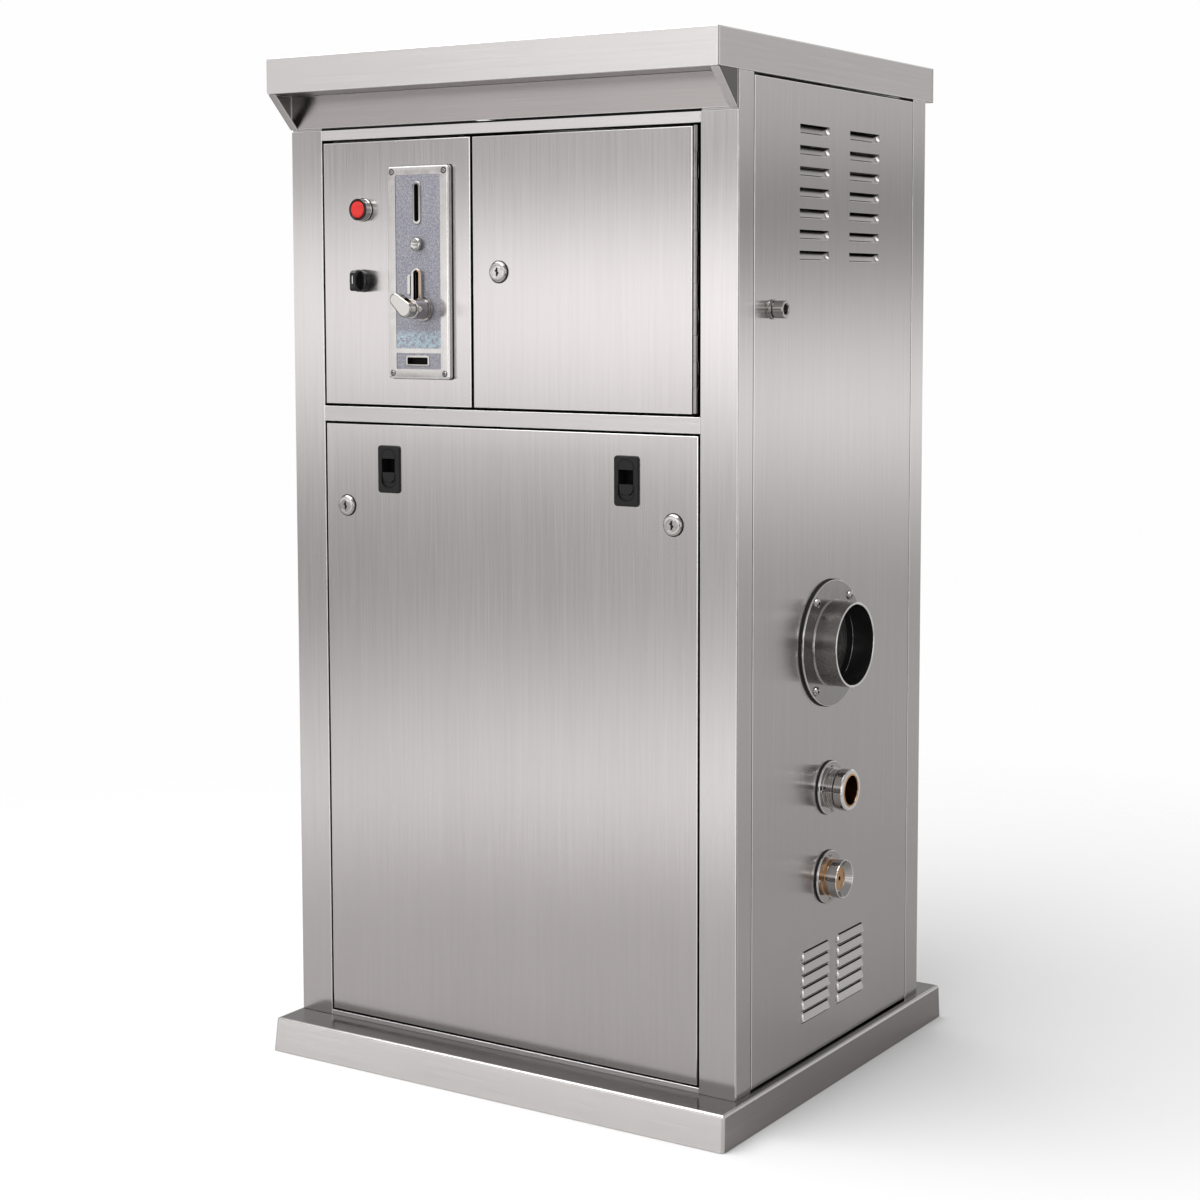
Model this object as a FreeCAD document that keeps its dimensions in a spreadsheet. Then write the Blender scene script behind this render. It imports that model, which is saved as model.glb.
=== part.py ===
"""Coin-operated stainless service station: folded-sheet cabinet on a plinth,
coin mechanism and controls on the front, suction spigot and two couplings on
the right side.

Frame: millimetres, +Z up, +X to the right, the front face looks along -Y.
The origin is on the floor at the centre of the four anchor holes.
"""
import FreeCAD
import Part
import os
import Sketcher
import PartDesign

os.makedirs("parts", exist_ok=True)
doc = FreeCAD.newDocument("service_station")
V = FreeCAD.Vector

# ---------------------------------------------------------------- dimensions
sheet = doc.addObject("Spreadsheet::Sheet", "dims")
sheet.Label = "dims"
VALUES = [
    ("cab_wide", 690.0), ("cab_deep", 518.0), ("cab_top", 1294.5), ("skin", 2.0),
    ("post_wide", 52.0), ("post_front_side", 38.5), ("post_rear_side", 39.4),
    ("jamb_deep", 24.0), ("lip_deep", 17.5), ("rear_flange", 40.0),
    ("plinth_high", 45.0), ("plinth_front", 50.7), ("plinth_back", 48.0),
    ("plinth_left", 4.0), ("plinth_right", 13.0), ("flare_front", 4.7), ("flare_side", 2.0),
    ("plinth_skin", 3.0), ("anchor_x", 610.0), ("anchor_y", 480.0), ("anchor_hole", 14.0),
    ("roof_front", 49.0), ("roof_back", 25.0), ("roof_high", 46.9), ("roof_round", 3.5),
    ("canopy_low", 1250.0), ("bracket_wide", 12.0),
    ("head_low", 1234.5), ("mid_high", 882.5), ("mid_low", 862.3), ("sill_high", 52.0),
    ("slit", 3.0), ("fold_deep", 14.0), ("divide_x", -46.9),
    ("hinge_x", 285.2), ("hinge_y", -257.6), ("knuckle_r", 2.6), ("pin_r", 1.0),
    ("knuckle_bore", 1.05), ("knuckle_pitch", 31.4), ("knuckle_gap", 0.5),
    ("ctrl_x", -223.0), ("button_z", 1142.0), ("selector_z", 1049.0),
    ("bezel_r", 14.5), ("ctrl_hole_r", 11.2),
    ("coin_x", -126.5), ("coin_z", 1059.0), ("coin_wide", 99.0), ("coin_high", 275.0),
    ("coin_thick", 9.0), ("inlay_wide", 72.5), ("lever_x", -118.0), ("lever_z", 1012.0),
    ("lock_r", 14.5), ("barrel_r", 9.6), ("lock_bore", 7.55), ("plug_r", 7.5),
    ("door_lock_x", -4.0), ("door_lock_z", 1059.0),
    ("panel_lock_x", 255.5), ("panel_lock_z", 750.0), ("pull_z", 801.0),
    ("pull_left_x", -183.3), ("pull_right_x", 188.5), ("pull_wide", 36.0), ("pull_high", 63.0),
    ("spigot_y", -17.5), ("spigot_z", 581.5), ("spigot_r", 55.0), ("spigot_bore", 52.0),
    ("spigot_flange", 82.0), ("spigot_out", 38.0),
    ("water_y", -17.0), ("water_z", 391.0), ("drain_y", -20.0), ("drain_z", 273.5),
    ("coupling_flange", 35.0), ("water_ring", 27.5), ("water_bore", 21.0), ("bush_bore", 18.5),
    ("drain_ring", 25.3), ("poppet_r", 15.2), ("side_lock_y", -173.0), ("side_lock_z", 1012.0),
]
D = {}


class Q:
    """A number with the sheet expression that gives it."""

    def __init__(self, v, e=None):
        self.v = float(v)
        self.e = e if e is not None else "(%.6f)" % float(v)
        self.bound = e is not None

    def _mix(self, other, op, value):
        r = Q(value, "(%s %s %s)" % (self.e, op, other.e))
        r.bound = self.bound or other.bound
        return r

    def __add__(self, o):
        o = q(o)
        return self._mix(o, "+", self.v + o.v)

    def __sub__(self, o):
        o = q(o)
        return self._mix(o, "-", self.v - o.v)

    def __mul__(self, o):
        o = q(o)
        return self._mix(o, "*", self.v * o.v)

    def __truediv__(self, o):
        o = q(o)
        return self._mix(o, "/", self.v / o.v)

    def __neg__(self):
        return q(0) - self

    def __radd__(self, o):
        return q(o) + self

    def __rsub__(self, o):
        return q(o) - self

    def __rmul__(self, o):
        return q(o) * self


def q(x):
    return x if isinstance(x, Q) else Q(x)


for row, (name, value) in enumerate(VALUES, start=1):
    sheet.set("A%d" % row, name)
    sheet.set("B%d" % row, "%.4f" % value)
    sheet.setAlias("B%d" % row, name)
    D[name] = Q(value, "dims." + name)
doc.recompute()
g = D.get


def bind(obj, prop, value):
    value = q(value)
    if value.bound:
        obj.setExpression(prop, value.e)
    elif prop.startswith("Placement."):
        obj.setExpression(prop, "%.6f" % value.v)
    else:
        setattr(obj, prop, value.v)


NODES = []
count = [0]


def add(kind, label):
    count[0] += 1
    o = doc.addObject(kind, "o%d_%s" % (count[0], label))
    o.Label = label
    return o


def node(obj, label):
    obj.Label = label
    NODES.append((label, obj))
    return obj


def box(label, x0, x1, y0, y1, z0, z1):
    o = add("Part::Box", label)
    x0, x1, y0, y1, z0, z1 = [q(a) for a in (x0, x1, y0, y1, z0, z1)]
    bind(o, "Length", x1 - x0)
    bind(o, "Width", y1 - y0)
    bind(o, "Height", z1 - z0)
    bind(o, "Placement.Base.x", x0)
    bind(o, "Placement.Base.y", y0)
    bind(o, "Placement.Base.z", z0)
    return o


ROT = {"x": FreeCAD.Rotation(V(0, 1, 0), 90), "y": FreeCAD.Rotation(V(1, 0, 0), -90), "z": FreeCAD.Rotation()}


def cyl(label, axis, r, a, b, u, v):
    """Cylinder of radius r from a to b along the axis; u, v are the other two coordinates in order."""
    o = add("Part::Cylinder", label)
    a, b, u, v = q(a), q(b), q(u), q(v)
    bind(o, "Radius", r)
    bind(o, "Height", b - a)
    xyz = {"x": (a, u, v), "y": (u, a, v), "z": (u, v, a)}[axis]
    o.Placement = FreeCAD.Placement(V(xyz[0].v, xyz[1].v, xyz[2].v), ROT[axis])
    for k, c in zip("xyz", xyz):
        if c.bound:
            bind(o, "Placement.Base." + k, c)
    return o


def cone(label, axis, r1, r2, a, b, u, v):
    o = add("Part::Cone", label)
    a, b, u, v = q(a), q(b), q(u), q(v)
    bind(o, "Radius1", r1)
    bind(o, "Radius2", r2)
    bind(o, "Height", b - a)
    xyz = {"x": (a, u, v), "y": (u, a, v), "z": (u, v, a)}[axis]
    o.Placement = FreeCAD.Placement(V(xyz[0].v, xyz[1].v, xyz[2].v), ROT[axis])
    for k, c in zip("xyz", xyz):
        if c.bound:
            bind(o, "Placement.Base." + k, c)
    return o


def group(label, items):
    o = add("Part::Compound", label)
    o.Links = items
    return o


def fuse(label, items):
    o = add("Part::MultiFuse", label)
    o.Shapes = items
    return o


def cut(label, base, tools):
    o = add("Part::Cut", label)
    o.Base = base
    o.Tool = tools[0] if len(tools) == 1 else fuse(label + "_tools", tools)
    return o


def pads(label, plane, runs, pocket=None):
    """PartDesign body: each run is (points, start, end) on the plane, points given as pairs."""
    body = add("PartDesign::Body", label)
    role = {"XY": "XY_Plane", "XZ": "XZ_Plane", "YZ": "YZ_Plane"}[plane]
    origin = [f for f in body.Origin.OriginFeatures if f.Role == role][0]
    for n, (pts, start, end) in enumerate(runs):
        start, end = q(start), q(end)
        sk = body.newObject("Sketcher::SketchObject", "%s_sk%d" % (body.Name, n))
        sk.AttachmentSupport = [(origin, "")]
        sk.MapMode = "FlatFace"
        # the XZ plane's normal is -Y
        offset = -start if plane == "XZ" else start
        if offset.bound:
            sk.setExpression("AttachmentOffset.Base.z", offset.e)
        sk.AttachmentOffset = FreeCAD.Placement(V(0, 0, offset.v), FreeCAD.Rotation())
        pts = [(q(a), q(b)) for a, b in pts]
        m = len(pts)
        for i in range(m):
            a, b = pts[i], pts[(i + 1) % m]
            sk.addGeometry(Part.LineSegment(V(a[0].v, a[1].v, 0), V(b[0].v, b[1].v, 0)), False)
        for i in range(m):
            sk.addConstraint(Sketcher.Constraint("Coincident", i, 2, (i + 1) % m, 1))
        for i in range(m):
            for kind, c in (("DistanceX", pts[i][0]), ("DistanceY", pts[i][1])):
                k = sk.addConstraint(Sketcher.Constraint(kind, -1, 1, i, 1, c.v))
                if c.bound:
                    sk.setExpression("Constraints[%d]" % k, c.e)
        pad = body.newObject("PartDesign::Pad", "%s_pad%d" % (body.Name, n))
        pad.Profile = sk
        length = end - start
        if length.bound:
            pad.setExpression("Length", length.e)
        pad.Length = length.v
        pad.Reversed = plane == "XZ"
        body.Tip = pad
    return body


W2, D2 = g("cab_wide") / 2, g("cab_deep") / 2
t = g("skin")
FY = -D2                      # front plane
top = g("cab_top")
ph = g("plinth_high")
inL = -W2 + g("post_wide")    # inner edge of the left post
inR = W2 - g("post_wide")

# ------------------------------------------------------------------- plinth
pl, pr = -W2 - g("plinth_left"), W2 + g("plinth_right")
pf, pb = FY - g("plinth_front"), D2 + g("plinth_back")
ff, fs = g("flare_front"), g("flare_side")
ps = g("plinth_skin")


def wedge(label, z0, z1, low, high):
    """Frustum between two rectangles (x0, x1, y0, y1) at z0 and z1."""
    o = add("Part::Wedge", label)
    for prop, val in (("Xmin", low[0]), ("Xmax", low[1]), ("Zmin", -low[3]), ("Zmax", -low[2]),
                      ("X2min", high[0]), ("X2max", high[1]), ("Z2min", -high[3]), ("Z2max", -high[2]),
                      ("Ymin", z0), ("Ymax", z1)):
        val = q(val)
        setattr(o, prop, val.v)
        if val.bound:
            o.setExpression(prop, val.e)
    o.Placement = FreeCAD.Placement(V(0, 0, 0), FreeCAD.Rotation(V(1, 0, 0), 90))
    return o


outer = wedge("plinth_outer", q(0), ph, (pl - fs, pr + fs, pf - ff, pb), (pl, pr, pf, pb))
inner = wedge("plinth_inner", ps, ph - ps, (pl - fs + ps, pr + fs - ps, pf - ff + ps, pb - ps),
              (pl + ps, pr - ps, pf + ps, pb - ps))
ax, ay = g("anchor_x") / 2, g("anchor_y") / 2
tools = [inner, box("plinth_window", -280, 280, -212, 212, -1, ps + 1),
         box("plinth_top_window", -120, 60, -60, 120, ph - ps - 1, ph + 1),
         cyl("plinth_pipe_hole", "z", 14, ph - ps - 1, ph + 1, 300, g("water_y"))]
for i, (sx, sy) in enumerate(((1, 1), (-1, 1), (-1, -1), (1, -1))):
    tools.append(cyl("anchor_%d" % i, "z", g("anchor_hole") / 2, -1, ps + 1, ax * sx, ay * sy))
node(cut("base_plinth", outer, tools), "base_plinth")

# -------------------------------------------------------------------- posts
fsd, rsd, jd = g("post_front_side"), g("post_rear_side"), g("jamb_deep")
lip = g("lip_deep")


def front_post(label, s):
    X = lambda v: q(v) if s > 0 else -q(v)
    e, i = W2, inR
    yl = FY + fsd
    pts = [(X(i), FY + jd), (X(i), FY), (X(e), FY), (X(e), yl), (X(e - t), yl), (X(e - t), yl + lip - t),
           (X(e - t * 2), yl + lip - t), (X(e - t * 2), yl - t), (X(e - t), yl - t), (X(e - t), FY + t),
           (X(i + t), FY + t), (X(i + t), FY + jd)]
    return node(pads(label, "XY", [(pts, ph, top)]), label)


def rear_post(label, s):
    X = lambda v: q(v) if s > 0 else -q(v)
    e, i = W2, W2 - g("rear_flange")
    yl = D2 - rsd
    pts = [(X(i), D2), (X(e), D2), (X(e), yl), (X(e - t), yl), (X(e - t), yl - lip + t),
           (X(e - t * 2), yl - lip + t), (X(e - t * 2), yl + t), (X(e - t), yl + t), (X(e - t), D2 - t), (X(i), D2 - t)]
    return node(pads(label, "XY", [(pts, ph, top)]), label)


front_post("front_post_left", -1)
front_post("front_post_right", 1)
rear_post("rear_post_left", -1)
rear_post("rear_post_right", 1)

# -------------------------------------------------------------- cross rails
hl, mh, ml, sh = g("head_low"), g("mid_high"), g("mid_low"), g("sill_high")
cl = g("canopy_low")
node(pads("header_rail", "YZ", [([(FY, hl), (FY + 19, hl), (FY + 19, hl + t), (FY + t, hl + t), (FY + t, cl), (FY, cl)],
                                 inL, inR)]), "header_rail")
node(pads("middle_rail", "YZ", [([(FY, ml), (FY + jd, ml), (FY + jd, ml + t), (FY + t, ml + t), (FY + t, mh - t),
                                  (FY + jd, mh - t), (FY + jd, mh), (FY, mh)], inL, inR)]), "middle_rail")
node(pads("sill_rail", "YZ", [([(FY, ph), (FY + t, ph), (FY + t, sh - t), (FY + jd, sh - t), (FY + jd, sh), (FY, sh)],
                               inL, inR)]), "sill_rail")
mx = g("divide_x")
mull = pads("mullion_all", "XY", [([(mx - 15, FY + t), (mx - 13, FY + t), (mx - 13, FY + 15), (mx + 11, FY + 15),
                                    (mx + 11, FY + 29), (mx + 9, FY + 29), (mx + 9, FY + 17), (mx - 15, FY + 17)],
                                   mh, hl)])
# the front leg is coped at both ends round the folded edges of the control panel
node(cut("centre_mullion", mull, [box("cope_low", mx - 16, mx - 12.6, FY + t - 1, FY + 14.6, mh - 1, mh + 5.8),
                                  box("cope_high", mx - 16, mx - 12.6, FY + t - 1, FY + 14.6, hl - 5.8, hl + 1)]),
     "centre_mullion")

# ------------------------------------------------------------ canopy and roof
node(box("canopy_panel", -W2, W2, FY - t, FY, cl, top), "canopy_panel")
yc, dc = FY - t, g("roof_front") - 4.5
web = [(yc, cl), (yc, top), (yc - dc, top)]
strip = [(yc, cl), (yc, cl + 2.9), (yc - dc + 2.9, top), (yc - dc, top)]
bw = g("bracket_wide")
node(group("canopy_brackets", [pads("bracket_left", "YZ", [(web, -W2, -W2 + t), (strip, -W2 + t, -W2 + bw)]),
                               pads("bracket_right", "YZ", [(web, W2 - t, W2), (strip, W2 - bw, W2 - t)])]),
     "canopy_brackets")

rf, rb, rt = FY - g("roof_front"), D2 + g("roof_back"), top + g("roof_high")
shell = box("roof_block", -W2, W2, rf, rb, top, rt)
doc.recompute()
edges = []
for n, ed in enumerate(shell.Shape.Edges, start=1):
    a, b = ed.Vertexes[0].Point, ed.Vertexes[-1].Point
    if abs(a.z - b.z) > 1 or (a.z > rt.v - 1 and b.z > rt.v - 1):
        edges.append((n, g("roof_round").v, g("roof_round").v))
rounded = add("Part::Fillet", "roof_rounded")
rounded.Base = shell
rounded.Edges = edges
node(cut("roof_cap", rounded, [box("roof_hollow", -W2 + t, W2 - t, rf + t, rb - t, top + t, rt - t),
                               box("roof_mouth", -W2 + 15, W2 - 15, FY + 4, D2 - 4, top - 1, top + t + 1)]), "roof_cap")

# --------------------------------------------------------------- side skins
py0, py1 = FY + fsd + 1, D2 - rsd - 1
node(box("side_panel_left", -W2, -W2 + t, py0, py1, 50, 1291.5), "side_panel_left")
skin_r = box("skin_right", W2 - t, W2, py0, py1, 50, 1291.5)
sy, sz, wy, wz, dy, dz = [g(k) for k in ("spigot_y", "spigot_z", "water_y", "water_z", "drain_y", "drain_z")]
holes = [cyl("h_spigot", "x", g("spigot_r") + 0.5, W2 - 5, W2 + 5, sy, sz),
         cyl("h_water", "x", 24.5, W2 - 5, W2 + 5, wy, wz), cyl("h_drain", "x", 22.5, W2 - 5, W2 + 5, dy, dz),
         cyl("h_lock", "x", 8.5, W2 - 5, W2 + 5, g("side_lock_y"), g("side_lock_z"))]
LOUVRES = [(154.5, 76.5, 1240.6, 26.05, 7, 8.0), (290.5, 84.0, 1240.2, 26.05, 7, 8.0),
           (169.0, 76.0, 189.0, 15.85, 6, 6.5), (267.0, 76.0, 189.0, 15.85, 6, 6.5)]
for c, (y0, ly, z0, pitch, rows, hh) in enumerate(LOUVRES):
    for r in range(rows):
        holes.append(box("louvre_%d_%d" % (c, r), W2 - 5, W2 + 5, FY + y0, FY + (y0 + ly),
                         z0 - pitch * r - hh, z0 - pitch * r))
node(cut("side_panel_right", skin_r, holes), "side_panel_right")
node(box("rear_panel", -330, 330, D2 - t * 2, D2 - t, 50, 1288), "rear_panel")

# ------------------------------------------------------------ control panel
sl, fd = g("slit"), g("fold_deep")
cx0, cx1, cz0, cz1 = inL + sl * 0.8, mx - sl / 2, mh + sl, hl - sl
kx, bz, sz2 = g("ctrl_x"), g("button_z"), g("selector_z")
qx, qz, qw, qh, qt = g("coin_x"), g("coin_z"), g("coin_wide"), g("coin_high"), g("coin_thick")
node(cut("control_panel", box("control_blank", cx0, cx1, FY, FY + fd, cz0, cz1),
         [box("control_inside", cx0 + t, cx1 + 5, FY + t, FY + fd + 5, cz0 + t, cz1 - t),
          cyl("c_h1", "y", g("ctrl_hole_r"), FY - 5, FY + 5, kx, bz),
          cyl("c_h2", "y", g("ctrl_hole_r"), FY - 5, FY + 5, kx, sz2),
          box("c_coin", qx - 39, qx + 39, FY - 5, FY + 5, qz - 126, qz + 128)]
         + [cyl("c_s%d" % i, "y", 1.8, FY - 1, FY + 5, qx + (qw / 2 - 7.2) * a, qz + (qh / 2 - 7.2) * b)
            for i, (a, b) in enumerate(((1, 1), (-1, 1), (-1, -1), (1, -1)))]), "control_panel")

# pushbutton: bezel with nut and contact block, and the cap that travels
node(cut("button_bezel", fuse("bezel_a", [cyl("ba", "y", g("bezel_r"), FY - 13, FY, kx, bz),
                                          cyl("bb", "y", 11.1, FY - 1, FY + 18, kx, bz),
                                          box("bc", kx - 14, kx + 14, FY + 17, FY + 50, bz - 20, bz + 20)]),
         [cyl("bd", "y", 11.35, FY - 14, FY - 4, kx, bz), cyl("be", "y", 5.5, FY - 5, FY + 12, kx, bz)]), "button_bezel")
node(fuse("red_button", [cyl("rb1", "y", 11.0, FY - 13.5, FY - 9.5, kx, bz),
                         cyl("rb2", "y", 5.0, FY - 10, FY + 4, kx, bz)]), "red_button")
node(cut("selector_bezel", fuse("sel_a", [cyl("sa", "y", 15.0, FY - 7, FY, kx, sz2),
                                          cyl("sb", "y", 11.1, FY - 1, FY + 18, kx, sz2),
                                          box("sc", kx - 14, kx + 14, FY + 17, FY + 50, sz2 - 20, sz2 + 20)]),
         [cyl("sd", "y", 5.5, FY - 8, FY + 12, kx, sz2)]), "selector_bezel")
grip = box("grip", kx - 5, kx + 5, FY - 25, FY - 12, sz2 - 15, sz2 + 15)
grip_round = add("Part::Common", "grip_round")
grip_round.Base = grip
grip_round.Tool = cyl("grip_c", "y", 14.8, FY - 26, FY - 11, kx, sz2)
node(fuse("selector_knob", [cyl("sk1", "y", 14.6, FY - 14, FY - 7.4, kx, sz2), grip_round,
                            cyl("sk2", "y", 5.0, FY - 8, FY + 8, kx, sz2)]), "selector_knob")

# --------------------------------------------------------- coin mechanism
qy = FY - qt                   # front face of the cast plate
iw = g("inlay_wide")
lx, lz = g("lever_x"), g("lever_z")
node(cut("coin_plate", box("coin_blank", qx - qw / 2, qx + qw / 2, qy, FY, qz - qh / 2, qz + qh / 2),
         [box("cp_a", qx - iw / 2, qx + iw / 2, qy - 1, qy + 1.2, 960.8, 1184.8),
          box("cp_b", qx - iw / 2, qx + iw / 2, qy - 1, qy + 1.2, 934.0, 955.0),
          box("cp_slot", qx - 4.5, qx + 2.5, qy - 1, FY + 1, 1124.5, 1173.0),
          box("cp_chute", qx - 4, qx + 4, qy - 1, FY + 1, 1022, 1062),
          box("cp_return", qx - 18, qx + 15, qy - 1, FY + 1, 940.2, 949.4),
          cyl("cp_rej", "y", 6.5, qy - 1, FY + 1, qx, 1095.5), cyl("cp_lev", "y", 5.55, qy - 1, FY + 1, lx, lz)]
         + [cyl("cp_s%d" % i, "y", 1.7, qy - 1, FY + 1, qx + (qw / 2 - 7.2) * a, qz + (qh / 2 - 7.2) * b)
            for i, (a, b) in enumerate(((1, 1), (-1, 1), (-1, -1), (1, -1)))]), "coin_plate")
node(cut("coin_inlay", box("inlay_blank", qx - iw / 2 + 0.2, qx + iw / 2 - 0.2, qy + 0.2, qy + 1.2, 961.0, 1184.6),
         [box("in_slot", qx - 4.5, qx + 2.5, qy - 1, qy + 2, 1124.5, 1173.0),
          box("in_chute", qx - 4, qx + 4, qy - 1, qy + 2, 1022, 1062),
          cyl("in_rej", "y", 6.5, qy - 1, qy + 2, qx, 1095.5), cyl("in_lev", "y", 5.55, qy - 1, qy + 2, lx, lz)]),
     "coin_inlay")
scr = []
for i, (a, b) in enumerate(((1, 1), (-1, 1), (-1, -1), (1, -1))):
    sx, sw = qx + (qw / 2 - 7.2) * a, qz + (qh / 2 - 7.2) * b
    scr.append(fuse("cps%d" % i, [cone("cps%d_h" % i, "y", 2.2, 3.2, qy - 1.2, qy, sx, sw),
                                  cyl("cps%d_s" % i, "y", 1.6, qy, FY + 8, sx, sw)]))
node(group("coin_plate_screws", scr), "coin_plate_screws")
# raised arch around the tall chute slot
node(cut("coin_chute_hood", fuse("hood_a", [box("ho_a", qx - 8.5, qx + 8.5, qy - 5, qy + 0.2, 1021.5, 1056.5),
                                            cyl("ho_b", "y", 8.5, qy - 5, qy + 0.2, qx, 1056.5),
                                            box("ho_c", qx - 15, qx - 9.5, qy - 4, qy + 0.2, 1030, 1056),
                                            box("ho_d", qx - 15, qx + 8, qy - 0.8, qy + 0.2, 1022, 1058)]),
         [box("ho_e", qx - 4.2, qx + 4.2, qy - 6, qy + 1, 1021, 1062.2),
          cyl("ho_f", "y", 16.5, qy - 6, qy + 1, lx, lz)]), "coin_chute_hood")
node(cut("coin_mech_housing", box("mech_a", qx - 38.5, qx + 38.5, FY + t + 1, FY + 110, 932, 1186),
         [box("mech_slot", qx - 4.5, qx + 2.5, FY, FY + 60, 1124.5, 1173.0),
          box("mech_drop", qx - 16, qx + 13, FY + 34, FY + 58, 931, 1124.6),
          box("mech_return", qx - 18, qx + 15, FY, FY + 30, 940.2, 949.4),
          cyl("mech_rej", "y", 6.5, FY, FY + 16, qx, 1095.5),
          cyl("mech_lev", "y", 5.55, FY, FY + 16, lx, lz),
          box("mech_chute", qx - 4, qx + 4, FY, FY + 60, 1022, 1062)]), "coin_mech_housing")
node(fuse("reject_button", [cyl("rj1", "y", 8.6, qy - 7, qy - 3.2, qx, 1095.5),
                            cyl("rj2", "y", 6.2, qy - 4, FY + 6, qx, 1095.5)]), "reject_button")
arm = [(lx + 4, lz - 11), (lx + 9, lz + 7), (lx - 14, lz + 20), (lx - 20, lz + 8)]
lever_arm = pads("lever_arm", "XZ", [(arm, qy - 37, qy - 27)])
node(fuse("coin_lever", [cyl("lv1", "y", 13.0, qy - 28, qy - 2.5, lx, lz), cyl("lv2", "y", 16.0, qy - 3, qy - 0.5, lx, lz),
                         cyl("lv3", "y", 5.5, qy - 1, FY + 10, lx, lz), lever_arm,
                         cyl("lv4", "y", 11.0, qy - 37, qy - 27, lx, lz),
                         cyl("lv5", "y", 8.5, qy - 42, qy - 27, lx - 15, lz + 12)]), "coin_lever")
node(cut("cash_box", box("cash_a", qx - 55, qx + 55, FY + 25, FY + 160, 643, 800),
         [box("cash_b", qx - 53, qx + 53, FY + 27, FY + 158, 645, 798),
          box("cash_c", qx - 20, qx + 17, FY + 30, FY + 62, 797, 801)]), "cash_box")
node(cut("coin_drop_chute", box("drop_a", qx - 18, qx + 15, FY + 32, FY + 60, 800.2, 932),
         [box("drop_b", qx - 16, qx + 13, FY + 34, FY + 58, 799, 933)]), "coin_drop_chute")

# ------------------------------------------------------------- upper door
hx, hy = g("hinge_x"), g("hinge_y")
dx0, dx1, dz0, dz1 = mx + sl / 2, hx - 3.2, mh + sl, hl - sl
lkx, lkz = g("door_lock_x"), g("door_lock_z")
node(cut("upper_door", box("door_a", dx0, dx1, FY, FY + fd, dz0, dz1),
         [box("door_b", dx0 + t, dx1 - t, FY + t, FY + fd + 5, dz0 + t, dz1 - t),
          cyl("door_c", "y", g("barrel_r") + 0.1, FY - 5, FY + 5, lkx, lkz)]), "upper_door")
kr, kb, kp, kg = g("knuckle_r"), g("knuckle_bore"), g("knuckle_pitch"), g("knuckle_gap")


def leaf(label, door):
    x0, x1 = (dx1, dx1 + 1.4) if door else (hx + 1.6, hx + 3.0)
    back = FY + fd - 1 if door else FY + jd - 2
    parts = [box(label + "_plate", x0, x1, hy + 3.1, back, dz0 + 1, dz1 - 1)]
    if not door:
        parts.append(box(label + "_packer", x1 - 0.2, inR, back - 9, back, dz0 + 1, dz1 - 1))
    for i in range(11):
        if (i % 2 == 0) == door:
            continue
        a, b = dz0 + 1 + kp * i + kg / 2, dz0 + 1 + kp * (i + 1) - kg / 2
        parts.append(cyl("%s_k%d" % (label, i), "z", kr, a, b, hx, hy))
        parts.append(box("%s_t%d" % (label, i), x0, x1, hy, hy + 3.2, a, b))
    bore = cyl(label + "_bore", "z", kb, dz0 - 5, dz1 + 5, hx, hy)
    return node(cut(label, fuse(label + "_all", parts), [bore]), label)


leaf("hinge_frame_leaf", False)
leaf("hinge_door_leaf", True)
node(cyl("hinge_pin", "z", g("pin_r"), dz0 + 1, dz1 - 1, hx, hy), "hinge_pin")


def lock_housing(label, x, z):
    dome = fuse(label + "_f", [cyl(label + "_r", "y", g("lock_r"), FY - 2, FY, x, z),
                               cone(label + "_c", "y", 11.2, g("lock_r"), FY - 5, FY - 2, x, z),
                               cyl(label + "_b", "y", g("barrel_r"), FY - 1, FY + 28, x, z),
                               cyl(label + "_n", "y", 13.0, FY + t, FY + 8, x, z)])
    return cut(label, dome, [cyl(label + "_h", "y", g("lock_bore"), FY - 6, FY + 30, x, z)])


def lock_plug(label, x, z):
    return cut(label, cyl(label + "_p", "y", g("plug_r"), FY - 4, FY + 33, x, z),
               [box(label + "_k", x - 0.9, x + 0.9, FY - 5, FY + 10, z - 4.2, z + 4.2)])


def cam(label, x, z, reach):
    return fuse(label, [cyl(label + "_a", "y", 9, FY + 33, FY + 36, x, z),
                        box(label + "_b", x - 8, x + 8, FY + 33, FY + 36, z - reach, z)])


node(lock_housing("door_lock_housing", lkx, lkz), "door_lock_housing")
node(lock_plug("door_lock_plug", lkx, lkz), "door_lock_plug")
node(cam("door_lock_cam", lkx, lkz, 42), "door_lock_cam")

# ---------------------------------------------------------- service panel
sx0, sx1, sz0, sz1 = inL + sl * 0.8, inR - sl * 0.8, sh + sl * 0.8, ml - sl * 0.8
plx, plz, puz = g("panel_lock_x"), g("panel_lock_z"), g("pull_z")
pw, phh = g("pull_wide"), g("pull_high")
pulls = [("left", g("pull_left_x")), ("right", g("pull_right_x"))]
locks = [("left", -plx), ("right", plx)]
tools = [box("srv_in", sx0 + t, sx1 - t, FY + t, FY + fd + 5, sz0 + t, sz1 - t)]
for s, x in locks:
    tools.append(cyl("srv_l" + s, "y", g("barrel_r") + 0.1, FY - 5, FY + 5, x, plz))
for s, x in pulls:
    tools.append(box("srv_p" + s, x - 14, x + 14, FY - 5, FY + 5, puz - 27, puz + 27))
node(cut("service_panel", box("srv_a", sx0, sx1, FY, FY + fd, sz0, sz1), tools), "service_panel")
node(group("service_lock_housings", [lock_housing("lh_" + s, x, plz) for s, x in locks]), "service_lock_housings")
for s, x in locks:
    node(lock_plug("service_lock_plug_" + s, x, plz), "service_lock_plug_" + s)
    node(cam("service_lock_cam_" + s, x, plz, 48), "service_lock_cam_" + s)
cups = []
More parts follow.
